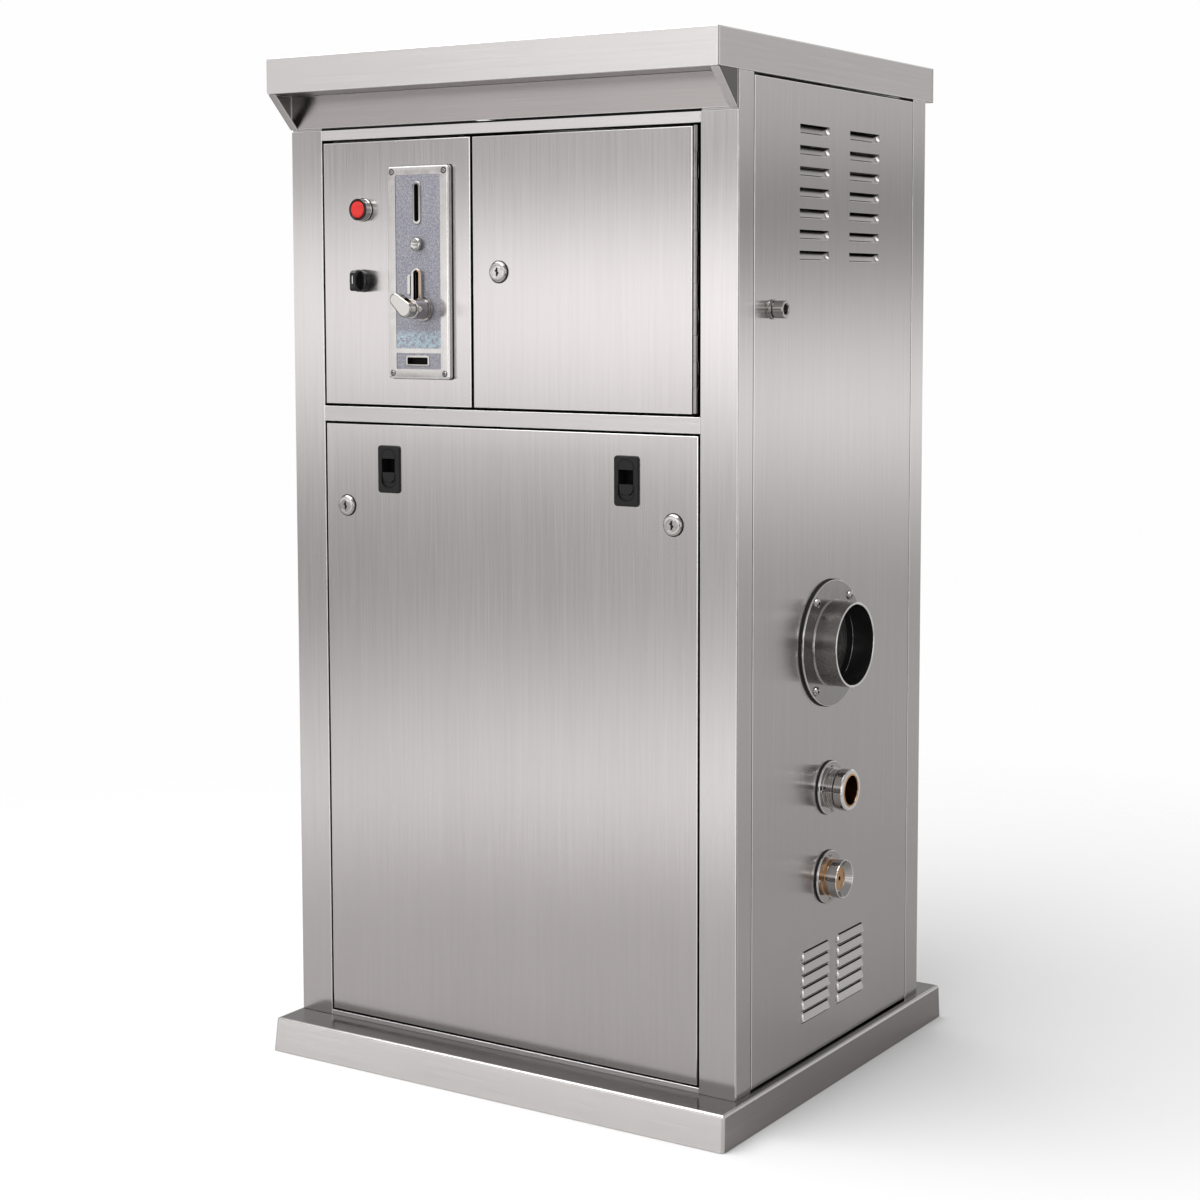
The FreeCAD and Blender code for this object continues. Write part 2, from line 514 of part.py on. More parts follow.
for s, x in pulls:
    face = box("pu_f" + s, x - pw / 2, x + pw / 2, FY - 3, FY, puz - phh / 2, puz + phh / 2)
    tub = box("pu_t" + s, x - 13.8, x + 13.8, FY - 1, FY + 18, puz - 26.8, puz + 26.8)
    cups.append(cut("pu_" + s, fuse("pu_all" + s, [face, tub]),
                    [box("pu_c" + s, x - 11, x + 11, FY - 4, FY + 16, puz - 24, puz + 14)]))
    node(box("pull_slider_" + s, x - 10.7, x + 10.7, FY - 2.2, FY + 11, puz - 17.5, puz - 4), "pull_slider_" + s)
node(group("pull_housings", cups), "pull_housings")

# -------------------------------------------------------- side connections
sf = g("spigot_flange")
gas = [cut("ga1", cyl("ga1a", "x", sf + 1, W2, W2 + 3, sy, sz), [cyl("ga1b", "x", g("spigot_r") + 0.5, W2 - 1, W2 + 4, sy, sz)]),
       cut("ga2", cyl("ga2a", "x", 35.5, W2, W2 + 2, wy, wz), [cyl("ga2b", "x", 24.5, W2 - 1, W2 + 4, wy, wz)]),
       cut("ga3", cyl("ga3a", "x", 35.0, W2, W2 + 2, dy, dz), [cyl("ga3b", "x", 22.5, W2 - 1, W2 + 4, dy, dz)])]
node(group("flange_gaskets", gas), "flange_gaskets")
SCREWS = [(57.0, 46.0), (57.0, -46.0), (-57.0, -46.0), (-57.0, 46.0)]
node(cut("hose_spigot", fuse("spig_a", [cyl("sp1", "x", sf, W2 + 3, W2 + 5.5, sy, sz),
                                        cyl("sp2", "x", g("spigot_r"), W2 - 45, W2 + g("spigot_out"), sy, sz)]),
         [cyl("sp3", "x", g("spigot_bore"), W2 - 5, W2 + g("spigot_out") + 1, sy, sz),
          cyl("sp4", "x", 50.0, W2 - 46, W2, sy, sz)]
         + [cyl("sp_s%d" % i, "x", 2.6, W2, W2 + 10, sy + b, sz + a) for i, (a, b) in enumerate(SCREWS)]), "hose_spigot")
fx = W2 + 2
ROUND = ((29.5, 0), (0, -29.5), (-29.5, 0), (0, 29.5))
ring = g("water_ring")
node(cut("water_coupling", fuse("wc_a", [cyl("wc1", "x", g("coupling_flange"), fx, fx + 3, wy, wz),
                                         cyl("wc2", "x", 24.0, W2 - 22, fx + 31, wy, wz),
                                         cyl("wc3", "x", 26.4, fx + 3, fx + 7, wy, wz),
                                         cyl("wc4", "x", 25.6, fx + 7, fx + 15, wy, wz),
                                         cyl("wc5", "x", ring, fx + 18, fx + 29, wy, wz),
                                         cone("wc6", "x", ring, 25.5, fx + 29, fx + 31, wy, wz)]),
         [cyl("wc7", "x", g("water_bore"), W2 - 23, fx + 32, wy, wz)]
         + [cyl("wc_s%d" % i, "x", 1.6, W2, W2 + 10, wy + b, wz + a) for i, (a, b) in enumerate(ROUND)]), "water_coupling")
node(cut("water_bush", cyl("wb1", "x", g("water_bore") - 0.03, W2 - 20, fx + 31.5, wy, wz),
         [cyl("wb2", "x", g("bush_bore"), W2 - 21, fx + 33, wy, wz)]), "water_bush")
dr, pr2 = g("drain_ring"), g("poppet_r")
node(cut("drain_coupling", fuse("dc_a", [cyl("dc1", "x", g("coupling_flange") - 0.5, fx, fx + 3, dy, dz),
                                         cyl("dc2", "x", 22.0, W2 - 22, fx + 12, dy, dz),
                                         cyl("dc3", "x", dr, fx + 11, fx + 24, dy, dz),
                                         cyl("dc4", "x", 24.0, fx + 3, fx + 7, dy, dz)]),
         [cone("dc5", "x", 16.0, 23.8, fx + 16, fx + 24.01, dy, dz),
          cyl("dc6", "x", pr2 + 0.4, W2 - 16, fx + 17, dy, dz), cyl("dc7", "x", 5.0, W2 - 23, W2 - 15, dy, dz)]
         + [cyl("dc_s%d" % i, "x", 1.6, W2, W2 + 10, dy + b, dz + a) for i, (a, b) in enumerate(ROUND)]), "drain_coupling")
node(cut("valve_poppet", fuse("vp_a", [cyl("vp1", "x", pr2, fx + 13, fx + 16.5, dy, dz),
                                       cyl("vp2", "x", 4.6, W2 - 20, fx + 14, dy, dz)]),
         [cyl("vp3", "x", 2.4, fx + 8, fx + 18, dy, dz)]), "valve_poppet")
heads = []
for i, (a, b) in enumerate(SCREWS):
    heads.append(fuse("fs%d" % i, [cyl("fs%da" % i, "x", 2.5, W2 - 8, W2 + 6, sy + b, sz + a),
                                   cone("fs%db" % i, "x", 5.0, 2.8, W2 + 5.5, W2 + 8.5, sy + b, sz + a)]))
for n, (cy_, cz_) in enumerate(((wy, wz), (dy, dz))):
    for i, (a, b) in enumerate(ROUND):
        heads.append(fuse("ft%d%d" % (n, i), [cyl("ft%d%da" % (n, i), "x", 1.5, W2 - 6, fx + 3.5, cy_ + b, cz_ + a),
                                              cone("ft%d%db" % (n, i), "x", 2.4, 1.5, fx + 3, fx + 4.4, cy_ + b, cz_ + a)]))
clear = [cyl("fc%d" % i, "x", 2.6, W2 - t - 1, W2 + 3.5, sy + b, sz + a) for i, (a, b) in enumerate(SCREWS)]
node(group("flange_screws", heads), "flange_screws")
ly, lz2 = g("side_lock_y"), g("side_lock_z")
node(cut("side_lock_body", fuse("sl_a", [cyl("sl1", "x", 11.5, W2, W2 + 3, ly, lz2), cyl("sl2", "x", 9.6, W2 + 2, W2 + 21.5, ly, lz2),
                                         cyl("sl3", "x", 8.4, W2 - 12, W2 + 3, ly, lz2)]),
         [cyl("sl4", "x", 6.05, W2 - 13, W2 + 23, ly, lz2)]), "side_lock_body")
node(cut("side_lock_plug", cyl("sp_a", "x", 6.0, W2 - 18, W2 + 18, ly, lz2),
         [box("sp_b", W2 + 10, W2 + 19, ly - 1.0, ly + 1.0, lz2 - 3.6, lz2 + 3.6)]), "side_lock_plug")

# ------------------------------------------------------------- inside parts
# the shelf's right edge is notched to clear the two upper flange screws
node(cut("mounting_shelf", box("shelf_all", -W2 + t, W2 - t, -200, 200, 640, 643),
         [box("shelf_notch%d" % i, W2 - 13, W2, sy + b - 6, sy + b + 6, 639, 644) for i, b in enumerate((-46, 46))]), "mounting_shelf")
mcx = 175
node(cut("suction_motor", fuse("motor_all", [cyl("mo1", "z", 95, ph, 330, mcx, sy), cyl("mo2", "z", 70, 329, 400, mcx, sy),
                                             cyl("mo3", "z", 104, 180, 196, mcx, sy)]),
         [cyl("mo4", "z", 88, ph + 6, 322, mcx, sy)]), "suction_motor")
node(cut("suction_duct", fuse("du_a", [cyl("du1", "x", 53, mcx, W2 - 45, sy, sz), cyl("du2", "z", 53, 400, sz, mcx, sy),
                                       cyl("du2b", "y", 53, sy - 53, sy + 53, mcx, sz)]),
         [cyl("du3", "x", 50.5, mcx, W2 - 44, sy, sz), cyl("du4", "z", 50.5, 402, sz, mcx, sy)]), "suction_duct")
node(box("water_valve", W2 - 62, W2 - 22, wy - 22, wy + 22, wz - 25, wz + 25), "water_valve")
node(cyl("water_pipe", "z", 11, 6, wz - 25, 300, wy), "water_pipe")
node(cut("control_box", box("cb_a", -300, -110, 165, D2 - t * 2, 700, 940),
         [box("cb_b", -297, -113, 168, D2 - t * 2 - 3, 703, 937)]), "control_box")

# the panel, gaskets and shafts of the flange screws share clearance holes
doc.recompute()


def drill(label, extra):
    for k, (n, o) in enumerate(NODES):
        if n == label:
            r = cut(label + "_drilled", o, extra)
            o.Label = label + "_blank"
            r.Label = label
            NODES[k] = (label, r)


small = [cyl("fd%d%d" % (n, i), "x", 1.6, W2 - t - 1, fx + 0.5, c[0] + b, c[1] + a)
         for n, c in enumerate(((wy, wz), (dy, dz))) for i, (a, b) in enumerate(ROUND)]
drill("side_panel_right", clear + small)
doc.recompute()

# -------------------------------------------------------------- gasket holes
g_clear = [cyl("gc%d" % i, "x", 2.6, W2 - 1, W2 + 3.5, sy + b, sz + a) for i, (a, b) in enumerate(SCREWS)]
g_small = [cyl("gs%d%d" % (n, i), "x", 1.6, W2 - 1, fx + 0.5, c[0] + b, c[1] + a)
           for n, c in enumerate(((wy, wz), (dy, dz))) for i, (a, b) in enumerate(ROUND)]
drill("flange_gaskets", g_clear + g_small)
doc.recompute()

# ---------------------------------------------------------------- checks
bad = []
for o in doc.Objects:
    if "Invalid" in o.State or "Error" in o.State:
        bad.append("%s %s" % (o.Label, o.State))
for label, o in NODES:
    s = o.Shape
    if s.isNull() or not s.isValid() or not s.Solids or s.Volume <= 0:
        bad.append("shape " + label)
if len(set(n for n, _ in NODES)) != len(NODES):
    bad.append("double labels")
if bad:
    raise RuntimeError("not built: " + "; ".join(bad))
for label, o in NODES:
    o.Shape.exportStep("parts/%s.step" % label)
    print("%-26s solids %2d volume %12.1f" % (label, len(o.Shape.Solids), o.Shape.Volume))
print(len(NODES), "nodes")
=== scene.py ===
import bpy, bmesh, math
from mathutils import Vector, Matrix


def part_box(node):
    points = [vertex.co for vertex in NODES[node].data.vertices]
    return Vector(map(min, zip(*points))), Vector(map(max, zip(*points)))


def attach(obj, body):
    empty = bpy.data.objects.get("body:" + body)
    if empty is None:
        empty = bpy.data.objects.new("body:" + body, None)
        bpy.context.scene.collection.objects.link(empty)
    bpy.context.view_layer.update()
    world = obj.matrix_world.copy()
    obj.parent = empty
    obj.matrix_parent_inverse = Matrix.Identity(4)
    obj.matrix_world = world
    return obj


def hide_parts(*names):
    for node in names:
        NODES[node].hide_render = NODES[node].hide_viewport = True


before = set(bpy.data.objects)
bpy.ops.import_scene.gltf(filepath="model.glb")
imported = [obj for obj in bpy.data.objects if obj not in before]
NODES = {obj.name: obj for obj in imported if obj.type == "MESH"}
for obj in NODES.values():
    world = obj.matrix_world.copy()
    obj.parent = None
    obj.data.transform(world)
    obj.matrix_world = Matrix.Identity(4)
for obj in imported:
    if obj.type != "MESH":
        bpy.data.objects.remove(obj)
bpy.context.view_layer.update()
MM = 0.001

# ------------------------------------------------------------------ camera
def make_camera():
    yaw, pitch, roll = -0.5618, 0.0853, -0.0004
    fwd = Vector((math.sin(yaw) * math.cos(pitch), math.cos(yaw) * math.cos(pitch), -math.sin(pitch)))
    right = Vector((math.cos(yaw), -math.sin(yaw), 0))
    up = right.cross(fwd)
    r2 = right * math.cos(roll) + up * math.sin(roll)
    u2 = up * math.cos(roll) - right * math.sin(roll)
    cam = bpy.data.cameras.new("cam")
    cam.sensor_width = 36
    cam.lens = 2243.68 / 1200 * 36
    cam.shift_x = (600 - 640.23) / 1200
    cam.shift_y = (493.46 - 600) / 1200
    cam.clip_end = 60
    o = bpy.data.objects.new("camera", cam)
    m = Matrix((r2, u2, -fwd)).transposed().to_4x4()
    m.translation = Vector((2016.51 - 345.05, -2325.61 - 258.8, 1021.48)) * MM
    o.matrix_world = m
    bpy.context.collection.objects.link(o)
    bpy.context.scene.camera = o

make_camera()

# --------------------------------------------------------------- materials
def new_mat(name):
    m = bpy.data.materials.new(name)
    m.use_nodes = True
    nt = m.node_tree
    for n in list(nt.nodes):
        nt.nodes.remove(n)
    out = nt.nodes.new("ShaderNodeOutputMaterial")
    b = nt.nodes.new("ShaderNodeBsdfPrincipled")
    nt.links.new(b.outputs[0], out.inputs[0])
    return m, nt, b

def noise(nt, scale, detail=3.0, stretch=(1, 1, 1), rough=0.55):
    tc = nt.nodes.new("ShaderNodeTexCoord")
    mp = nt.nodes.new("ShaderNodeMapping")
    mp.inputs["Scale"].default_value = stretch
    nt.links.new(tc.outputs["Object"], mp.inputs["Vector"])
    n = nt.nodes.new("ShaderNodeTexNoise")
    n.inputs["Scale"].default_value = scale
    n.inputs["Detail"].default_value = detail
    n.inputs["Roughness"].default_value = rough
    nt.links.new(mp.outputs[0], n.inputs["Vector"])
    return n.outputs["Fac"]

def ramp(nt, fac, stops):
    r = nt.nodes.new("ShaderNodeValToRGB")
    e = r.color_ramp.elements
    while len(e) < len(stops):
        e.new(0.5)
    for k, (p, c) in enumerate(stops):
        e[k].position = p
        e[k].color = (c[0], c[1], c[2], 1) if not isinstance(c, (int, float)) else (c, c, c, 1)
    nt.links.new(fac, r.inputs[0])
    return r.outputs[0]

def mul(nt, a, b, fac=1.0):
    m = nt.nodes.new("ShaderNodeMix")
    m.data_type = "RGBA"
    m.blend_type = "MULTIPLY"
    m.inputs["Factor"].default_value = fac
    nt.links.new(a, m.inputs["A"])
    nt.links.new(b, m.inputs["B"])
    return m.outputs["Result"]

def bump(nt, b, height, strength, dist):
    bp = nt.nodes.new("ShaderNodeBump")
    bp.inputs["Strength"].default_value = strength
    bp.inputs["Distance"].default_value = dist
    nt.links.new(height, bp.inputs["Height"])
    nt.links.new(bp.outputs[0], b.inputs["Normal"])

def rgb(c, k):
    return (c[0] * k, c[1] * k, c[2] * k)

def brushed(name, base, grain, rough=0.19, aniso=0.86, bumps=0.10, streak=0.05, axis="Z"):
    """Brushed stainless sheet: long streaks along the grain in colour, gloss and relief."""
    m, nt, b = new_mat(name)
    st = {"z": (1, 1, 0.006), "x": (0.006, 1, 1), "y": (1, 0.006, 1)}[grain]
    fine = noise(nt, 1500, 4, st, 0.6)
    mid = noise(nt, 260, 3, {"z": (1, 1, 0.02), "x": (0.02, 1, 1), "y": (1, 0.02, 1)}[grain], 0.6)
    cloud = noise(nt, 4.5, 3, (1, 1, 0.7), 0.5)
    col = ramp(nt, fine, [(0.3, rgb(base, 1 - streak)), (0.7, rgb(base, 1 + streak * 0.6))])
    col = mul(nt, col, ramp(nt, mid, [(0.3, 1 - streak * 0.9), (0.7, 1.0)]))
    col = mul(nt, col, ramp(nt, cloud, [(0.3, (0.965, 0.962, 0.96)), (0.7, (1, 1, 1))]))
    nt.links.new(col, b.inputs["Base Color"])
    b.inputs["Metallic"].default_value = 1.0
    nt.links.new(ramp(nt, fine, [(0.25, rough - 0.03), (0.75, rough + 0.04)]), b.inputs["Roughness"])
    b.inputs["Anisotropic"].default_value = aniso
    b.inputs["Anisotropic Rotation"].default_value = 0.0 if grain == "z" else 0.25
    tg = nt.nodes.new("ShaderNodeTangent")
    tg.direction_type = "RADIAL"
    tg.axis = axis
    nt.links.new(tg.outputs[0], b.inputs["Tangent"])
    bump(nt, b, fine, bumps, 0.00006)
    return m

def turned(name, base, rough=0.22, streak=0.08, noise_scale=900, metallic=1.0):
    """Turned or cast metal with faint machining variation."""
    m, nt, b = new_mat(name)
    f = noise(nt, noise_scale, 3)
    g2 = noise(nt, 60, 3)
    col = ramp(nt, f, [(0.3, rgb(base, 1 - streak)), (0.7, rgb(base, 1 + streak * 0.4))])
    col = mul(nt, col, ramp(nt, g2, [(0.3, (0.93, 0.92, 0.91)), (0.7, (1, 1, 1))]))
    nt.links.new(col, b.inputs["Base Color"])
    b.inputs["Metallic"].default_value = metallic
    nt.links.new(ramp(nt, g2, [(0.3, rough - 0.04), (0.7, rough + 0.05)]), b.inputs["Roughness"])
    bump(nt, b, f, 0.03, 0.00005)
    return m

def plastic(name, base, rough=0.42, grain=1400, bumps=0.15, coat=0.0):
    m, nt, b = new_mat(name)
    f = noise(nt, grain, 2)
    g2 = noise(nt, 40, 3)
    nt.links.new(ramp(nt, g2, [(0.3, rgb(base, 0.9)), (0.7, rgb(base, 1.08))]), b.inputs["Base Color"])
    nt.links.new(ramp(nt, f, [(0.3, rough - 0.04), (0.7, rough + 0.05)]), b.inputs["Roughness"])
    b.inputs["Coat Weight"].default_value = coat
    b.inputs["Specular IOR Level"].default_value = 0.28
    b.inputs["Coat Roughness"].default_value = 0.08
    bump(nt, b, f, bumps, 0.00005)
    return m

STEEL = (0.60, 0.571, 0.567)
M = {
    "sheet": brushed("steel_sheet_vertical", STEEL, "z"),
    "frame": brushed("steel_frame_vertical", (0.62, 0.592, 0.588), "z"),
    # cap, capy and captop give the roof's front fascia, side fascias and top different base colours of one steel:
    # painted light and shade per face; cap, the lightest, is also used on the rails and bracket strips
    "cap": brushed("steel_cap_horizontal", (0.68, 0.652, 0.648), "x", 0.24),
    "capy": brushed("steel_cap_side", (0.61, 0.582, 0.578), "y", 0.24),
    # canopy: a darker copy of the steel, painted shade, used on the canopy under the roof and on shaded louvre walls
    "canopy": brushed("steel_canopy_shaded", (0.44, 0.412, 0.405), "x", 0.24),
    # baseside: a darker copy of the steel for the plinth's sides: painted shade
    "baseside": brushed("steel_base_side_painted_shade", (0.40, 0.375, 0.368), "y", 0.24),
    # edge: a much lighter copy of the steel on the roundings of folds, rims and edges: painted highlight
    "edge": turned("steel_fold_edge_painted_highlight", (0.93, 0.915, 0.91), 0.16, 0.03),
    "turned": turned("steel_turned", (0.40, 0.385, 0.38), 0.15, 0.05, 500),
    # dark_steel: near-black turned steel in the grooves and bores of the couplings, lever and side lock: painted shade
    "dark_steel": turned("steel_turned_painted_shade", (0.10, 0.096, 0.092), 0.20, 0.06, 500),
    # pipe: a much darker copy of the turned steel for the spigot's tube: painted shade
    "pipe": turned("steel_pipe_polished", (0.25, 0.242, 0.238), 0.27, 0.05, 500),
    # ledge: a near-black copy of the steel for the plinth's top and flange and the canopy bracket webs: painted shade
    "ledge": brushed("steel_ledge_shaded", (0.155, 0.148, 0.145), "x", 0.22),
    "lockface": turned("lock_plate", (0.55, 0.533, 0.52), 0.13, 0.03, 300),
    "chrome": turned("chrome_plate", (0.50, 0.482, 0.468), 0.06, 0.02, 300),
    # edge2: a lighter copy of the steel on the plinth's roundings: painted highlight
    "edge2": turned("steel_edge_soft_painted_highlight", (0.74, 0.72, 0.71), 0.24, 0.03),
    # hood: a darker copy of the steel for the faces of the lower louvre hoods: painted shade
    "hood": brushed("steel_hood_painted_shade", (0.45, 0.428, 0.423), "z"),
    # basefront: a much lighter copy of the steel for the plinth's front and back: painted light
    "basefront": brushed("steel_base_front_painted_light", (0.81, 0.78, 0.775), "x", 0.24),
    "captop": brushed("steel_cap_top", (0.60, 0.572, 0.568), "x", 0.26, axis="X"),
    "cast": turned("cast_plate_satin", (0.62, 0.60, 0.59), 0.16, 0.05, 700),
    "brass": turned("brass_turned", (0.66, 0.38, 0.19), 0.24, 0.10, 400),
    # brassdark: near-black brass inside the water bush's bore: painted shade
    "brassdark": turned("brass_bore_painted_shade", (0.20, 0.10, 0.045), 0.28, 0.12, 400),
    "black": plastic("black_plastic", (0.008, 0.008, 0.008), 0.34),
    "blackgloss": plastic("black_gloss_plastic", (0.006, 0.006, 0.006), 0.14, coat=0.2),
    # hole: near-black strips and faces in seams, gaps, slots, sockets and the walls of openings: painted shadow and
    # painted shade
    "hole": plastic("black_painted_shadow", (0.004, 0.004, 0.004), 0.75),
    # bore: near-black inside the spigot's bore: painted shade
    "bore": plastic("bore_black_painted_shade", (0.012, 0.012, 0.012), 0.22),
    "red": plastic("red_lens_plastic", (0.72, 0.022, 0.018), 0.32, coat=0.3),
    "rubber": plastic("gasket_rubber", (0.015, 0.015, 0.015), 0.62),
    "grey": plastic("grey_moulded_plastic", (0.30, 0.31, 0.32), 0.45),
    "paint": plastic("motor_paint", (0.06, 0.075, 0.09), 0.38, 500, 0.3),
    "white": plastic("index_white", (0.75, 0.75, 0.73), 0.4),
    "galv": turned("zinc_plated_sheet", (0.50, 0.51, 0.52), 0.38, 0.12, 120),
}

def speckle():
    """Blue-grey hammered inlay with fine speckle and a bluer worn patch near its foot."""
    m, nt, b = new_mat("inlay_speckled")
    f = noise(nt, 520, 3, (1, 1, 1), 0.65)
    v = nt.nodes.new("ShaderNodeTexVoronoi")
    v.inputs["Scale"].default_value = 900
    tc = nt.nodes.new("ShaderNodeTexCoord")
    nt.links.new(tc.outputs["Object"], v.inputs["Vector"])
    g2 = noise(nt, 30, 3)
    col = ramp(nt, f, [(0.36, (0.245, 0.246, 0.29)), (0.5, (0.35, 0.348, 0.392)), (0.64, (0.54, 0.53, 0.55))])
    col = mul(nt, col, ramp(nt, v.outputs["Distance"], [(0.0, (0.82, 0.82, 0.84)), (0.5, (1, 1, 1))]))
    col = mul(nt, col, ramp(nt, g2, [(0.3, (0.92, 0.92, 0.95)), (0.7, (1, 1, 1))]))
    # worn patch between two heights near the foot of the inlay
    sep = nt.nodes.new("ShaderNodeSeparateXYZ")
    nt.links.new(tc.outputs["Object"], sep.inputs[0])
    mr = nt.nodes.new("ShaderNodeMapRange")
    mr.inputs["From Min"].default_value = 0.986
    mr.inputs["From Max"].default_value = 0.978
    nt.links.new(sep.outputs["Z"], mr.inputs["Value"])
    m2 = nt.nodes.new("ShaderNodeMapRange")
    m2.inputs["From Min"].default_value = 0.957
    m2.inputs["From Max"].default_value = 0.960
    nt.links.new(sep.outputs["Z"], m2.inputs["Value"])
    mm_ = nt.nodes.new("ShaderNodeMath")
    mm_.operation = "MULTIPLY"
    nt.links.new(mr.outputs[0], mm_.inputs[0])
    nt.links.new(m2.outputs[0], mm_.inputs[1])
    patch = noise(nt, 190, 2)
    pr = nt.nodes.new("ShaderNodeMapRange")
    pr.inputs["From Min"].default_value = 0.38
    pr.inputs["From Max"].default_value = 0.56
    nt.links.new(patch, pr.inputs["Value"])
    ad = nt.nodes.new("ShaderNodeMath")
    ad.operation = "MULTIPLY"
    nt.links.new(mm_.outputs[0], ad.inputs[0])
    nt.links.new(pr.outputs[0], ad.inputs[1])
    mx = nt.nodes.new("ShaderNodeMix")
    mx.data_type = "RGBA"
    nt.links.new(ad.outputs[0], mx.inputs["Factor"])
    nt.links.new(col, mx.inputs["A"])
    blue = ramp(nt, f, [(0.35, (0.30, 0.40, 0.48)), (0.65, (0.60, 0.70, 0.76))])
    nt.links.new(blue, mx.inputs["B"])
    nt.links.new(mx.outputs["Result"], b.inputs["Base Color"])
    b.inputs["Metallic"].default_value = 0.75
    nt.links.new(ramp(nt, f, [(0.3, 0.38), (0.7, 0.52)]), b.inputs["Roughness"])
    bump(nt, b, f, 0.35, 0.00012)
    return m

M["inlay"] = speckle()

# ------------------------------------------------------------ mesh helpers
def finish_obj(name, bm, mats, body, replaces=(), smooth=True, angle=32):
    me = bpy.data.meshes.new(name)
    bmesh.ops.recalc_face_normals(bm, faces=bm.faces)
    bm.to_mesh(me)
    bm.free()
    for k in mats:
        me.materials.append(M[k])
    if smooth:
        for p in me.polygons:
            p.use_smooth = True
        me.set_sharp_from_angle(angle=math.radians(angle))
    o = bpy.data.objects.new(name, me)
    bpy.context.collection.objects.link(o)
    weigh(o)
    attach(o, body)
    if replaces:
        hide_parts(*replaces)
    return o

def weigh(o):
    """Keeps large flat faces flat beside their small rounded edges."""
    md = o.modifiers.new("weighted", "WEIGHTED_NORMAL")
    md.mode = "FACE_AREA"
    md.weight = 100
    md.keep_sharp = True

def add_box(bm, x0, x1, y0, y1, z0, z1, bevel=0.0, seg=3, mat=0, edge=None):
    """Box in millimetres with rounded edges; edge is the material index of the rounding."""
    t = bmesh.new()
    bmesh.ops.create_cube(t, size=1.0)
    for v in t.verts:
        v.co = Vector(((x0 + x1) / 2 + v.co.x * (x1 - x0), (y0 + y1) / 2 + v.co.y * (y1 - y0),
                       (z0 + z1) / 2 + v.co.z * (z1 - z0)))
    for f in t.faces:
        f.material_index = mat
    if bevel > 0:
        r = min(bevel, 0.49 * min(x1 - x0, y1 - y0, z1 - z0))
        bmesh.ops.bevel(t, geom=list(t.edges), offset=r, segments=seg, profile=0.5, affect="EDGES",
                        material=(edge if edge is not None else mat), clamp_overlap=True)
    for v in t.verts:
        v.co *= MM
    merge(bm, t)

def merge(bm, t):
    me = bpy.data.meshes.new("tmp")
    t.to_mesh(me)
    t.free()
    bm.from_mesh(me)
    bpy.data.meshes.remove(me)

def lathe(bm, axis, cu, cv, profile, seg=72, closed=True, phase=0.0):
    """Revolves (position, radius, material) points about an axis; positions and radii in millimetres.
    cu, cv are the two other coordinates in order (x axis: y, z; y axis: x, z; z axis: x, y)."""
    rings = []
    t = bmesh.new()
    for a, r, _ in profile:
        if r < 1e-6:
            p = {"x": (a, cu, cv), "y": (cu, a, cv), "z": (cu, cv, a)}[axis]
            rings.append([t.verts.new(Vector(p) * MM)])
            continue
        ring = []
        for k in range(seg):
            w = 2 * math.pi * (k + phase) / seg
            c, s = r * math.cos(w), r * math.sin(w)
            p = {"x": (a, cu + c, cv + s), "y": (cu + c, a, cv + s), "z": (cu + c, cv + s, a)}[axis]
            ring.append(t.verts.new(Vector(p) * MM))
        rings.append(ring)
    n = len(rings)
    for i in range(n if closed else n - 1):
        A, B = rings[i], rings[(i + 1) % n]
        mat = profile[i][2]
        if len(A) == 1 and len(B) == 1:
            continue
        for k in range(seg):
            k2 = (k + 1) % seg
            if len(A) == 1:
                f = t.faces.new((A[0], B[k2], B[k]))
            elif len(B) == 1:
                f = t.faces.new((A[k], A[k2], B[0]))
            else:
                f = t.faces.new((A[k], A[k2], B[k2], B[k]))
            f.material_index = mat
    merge(bm, t)

def prism(bm, pts, plane, a0, a1, mat=0, bevel=0.0, edge=None, seg=2):
    """Extrudes a polygon (mm) on plane xz, yz or xy between a0 and a1 of the remaining axis."""
    t = bmesh.new()
    def at(p, a):
        return {"xz": Vector((p[0], a, p[1])), "yz": Vector((a, p[0], p[1])), "xy": Vector((p[0], p[1], a))}[plane]
    A = [t.verts.new(at(p, a0)) for p in pts]
    B = [t.verts.new(at(p, a1)) for p in pts]
    n = len(pts)
    t.faces.new(A)
    t.faces.new(list(reversed(B)))
    for i in range(n):
        t.faces.new((A[i], B[i], B[(i + 1) % n], A[(i + 1) % n]))
    bmesh.ops.recalc_face_normals(t, faces=t.faces)
    for f in t.faces:
        f.material_index = mat
    if bevel > 0:
        es = [e for e in t.edges if e.calc_face_angle(0) > math.radians(28)]
        bmesh.ops.bevel(t, geom=es, offset=bevel, segments=seg, profile=0.5, affect="EDGES",
                        material=(edge if edge is not None else mat), clamp_overlap=True)
    for v in t.verts:
        v.co *= MM
    merge(bm, t)

def rounded(x0, x1, z0, z1, r, n=6, corners=(1, 1, 1, 1)):
    """Rounded rectangle outline, anticlockwise from the lower right corner."""
    out = []
    for k, (cx, cz, a) in enumerate(((x1 - r, z0 + r, -90), (x1 - r, z1 - r, 0), (x0 + r, z1 - r, 90), (x0 + r, z0 + r, 180))):
        if corners[k]:
            for i in range(n + 1):
                w = math.radians(a + 90 * i / n)
                out.append((cx + r * math.cos(w), cz + r * math.sin(w)))
        else:
            out.append([(x1, z0), (x1, z1), (x0, z1), (x0, z0)][k])
    return out

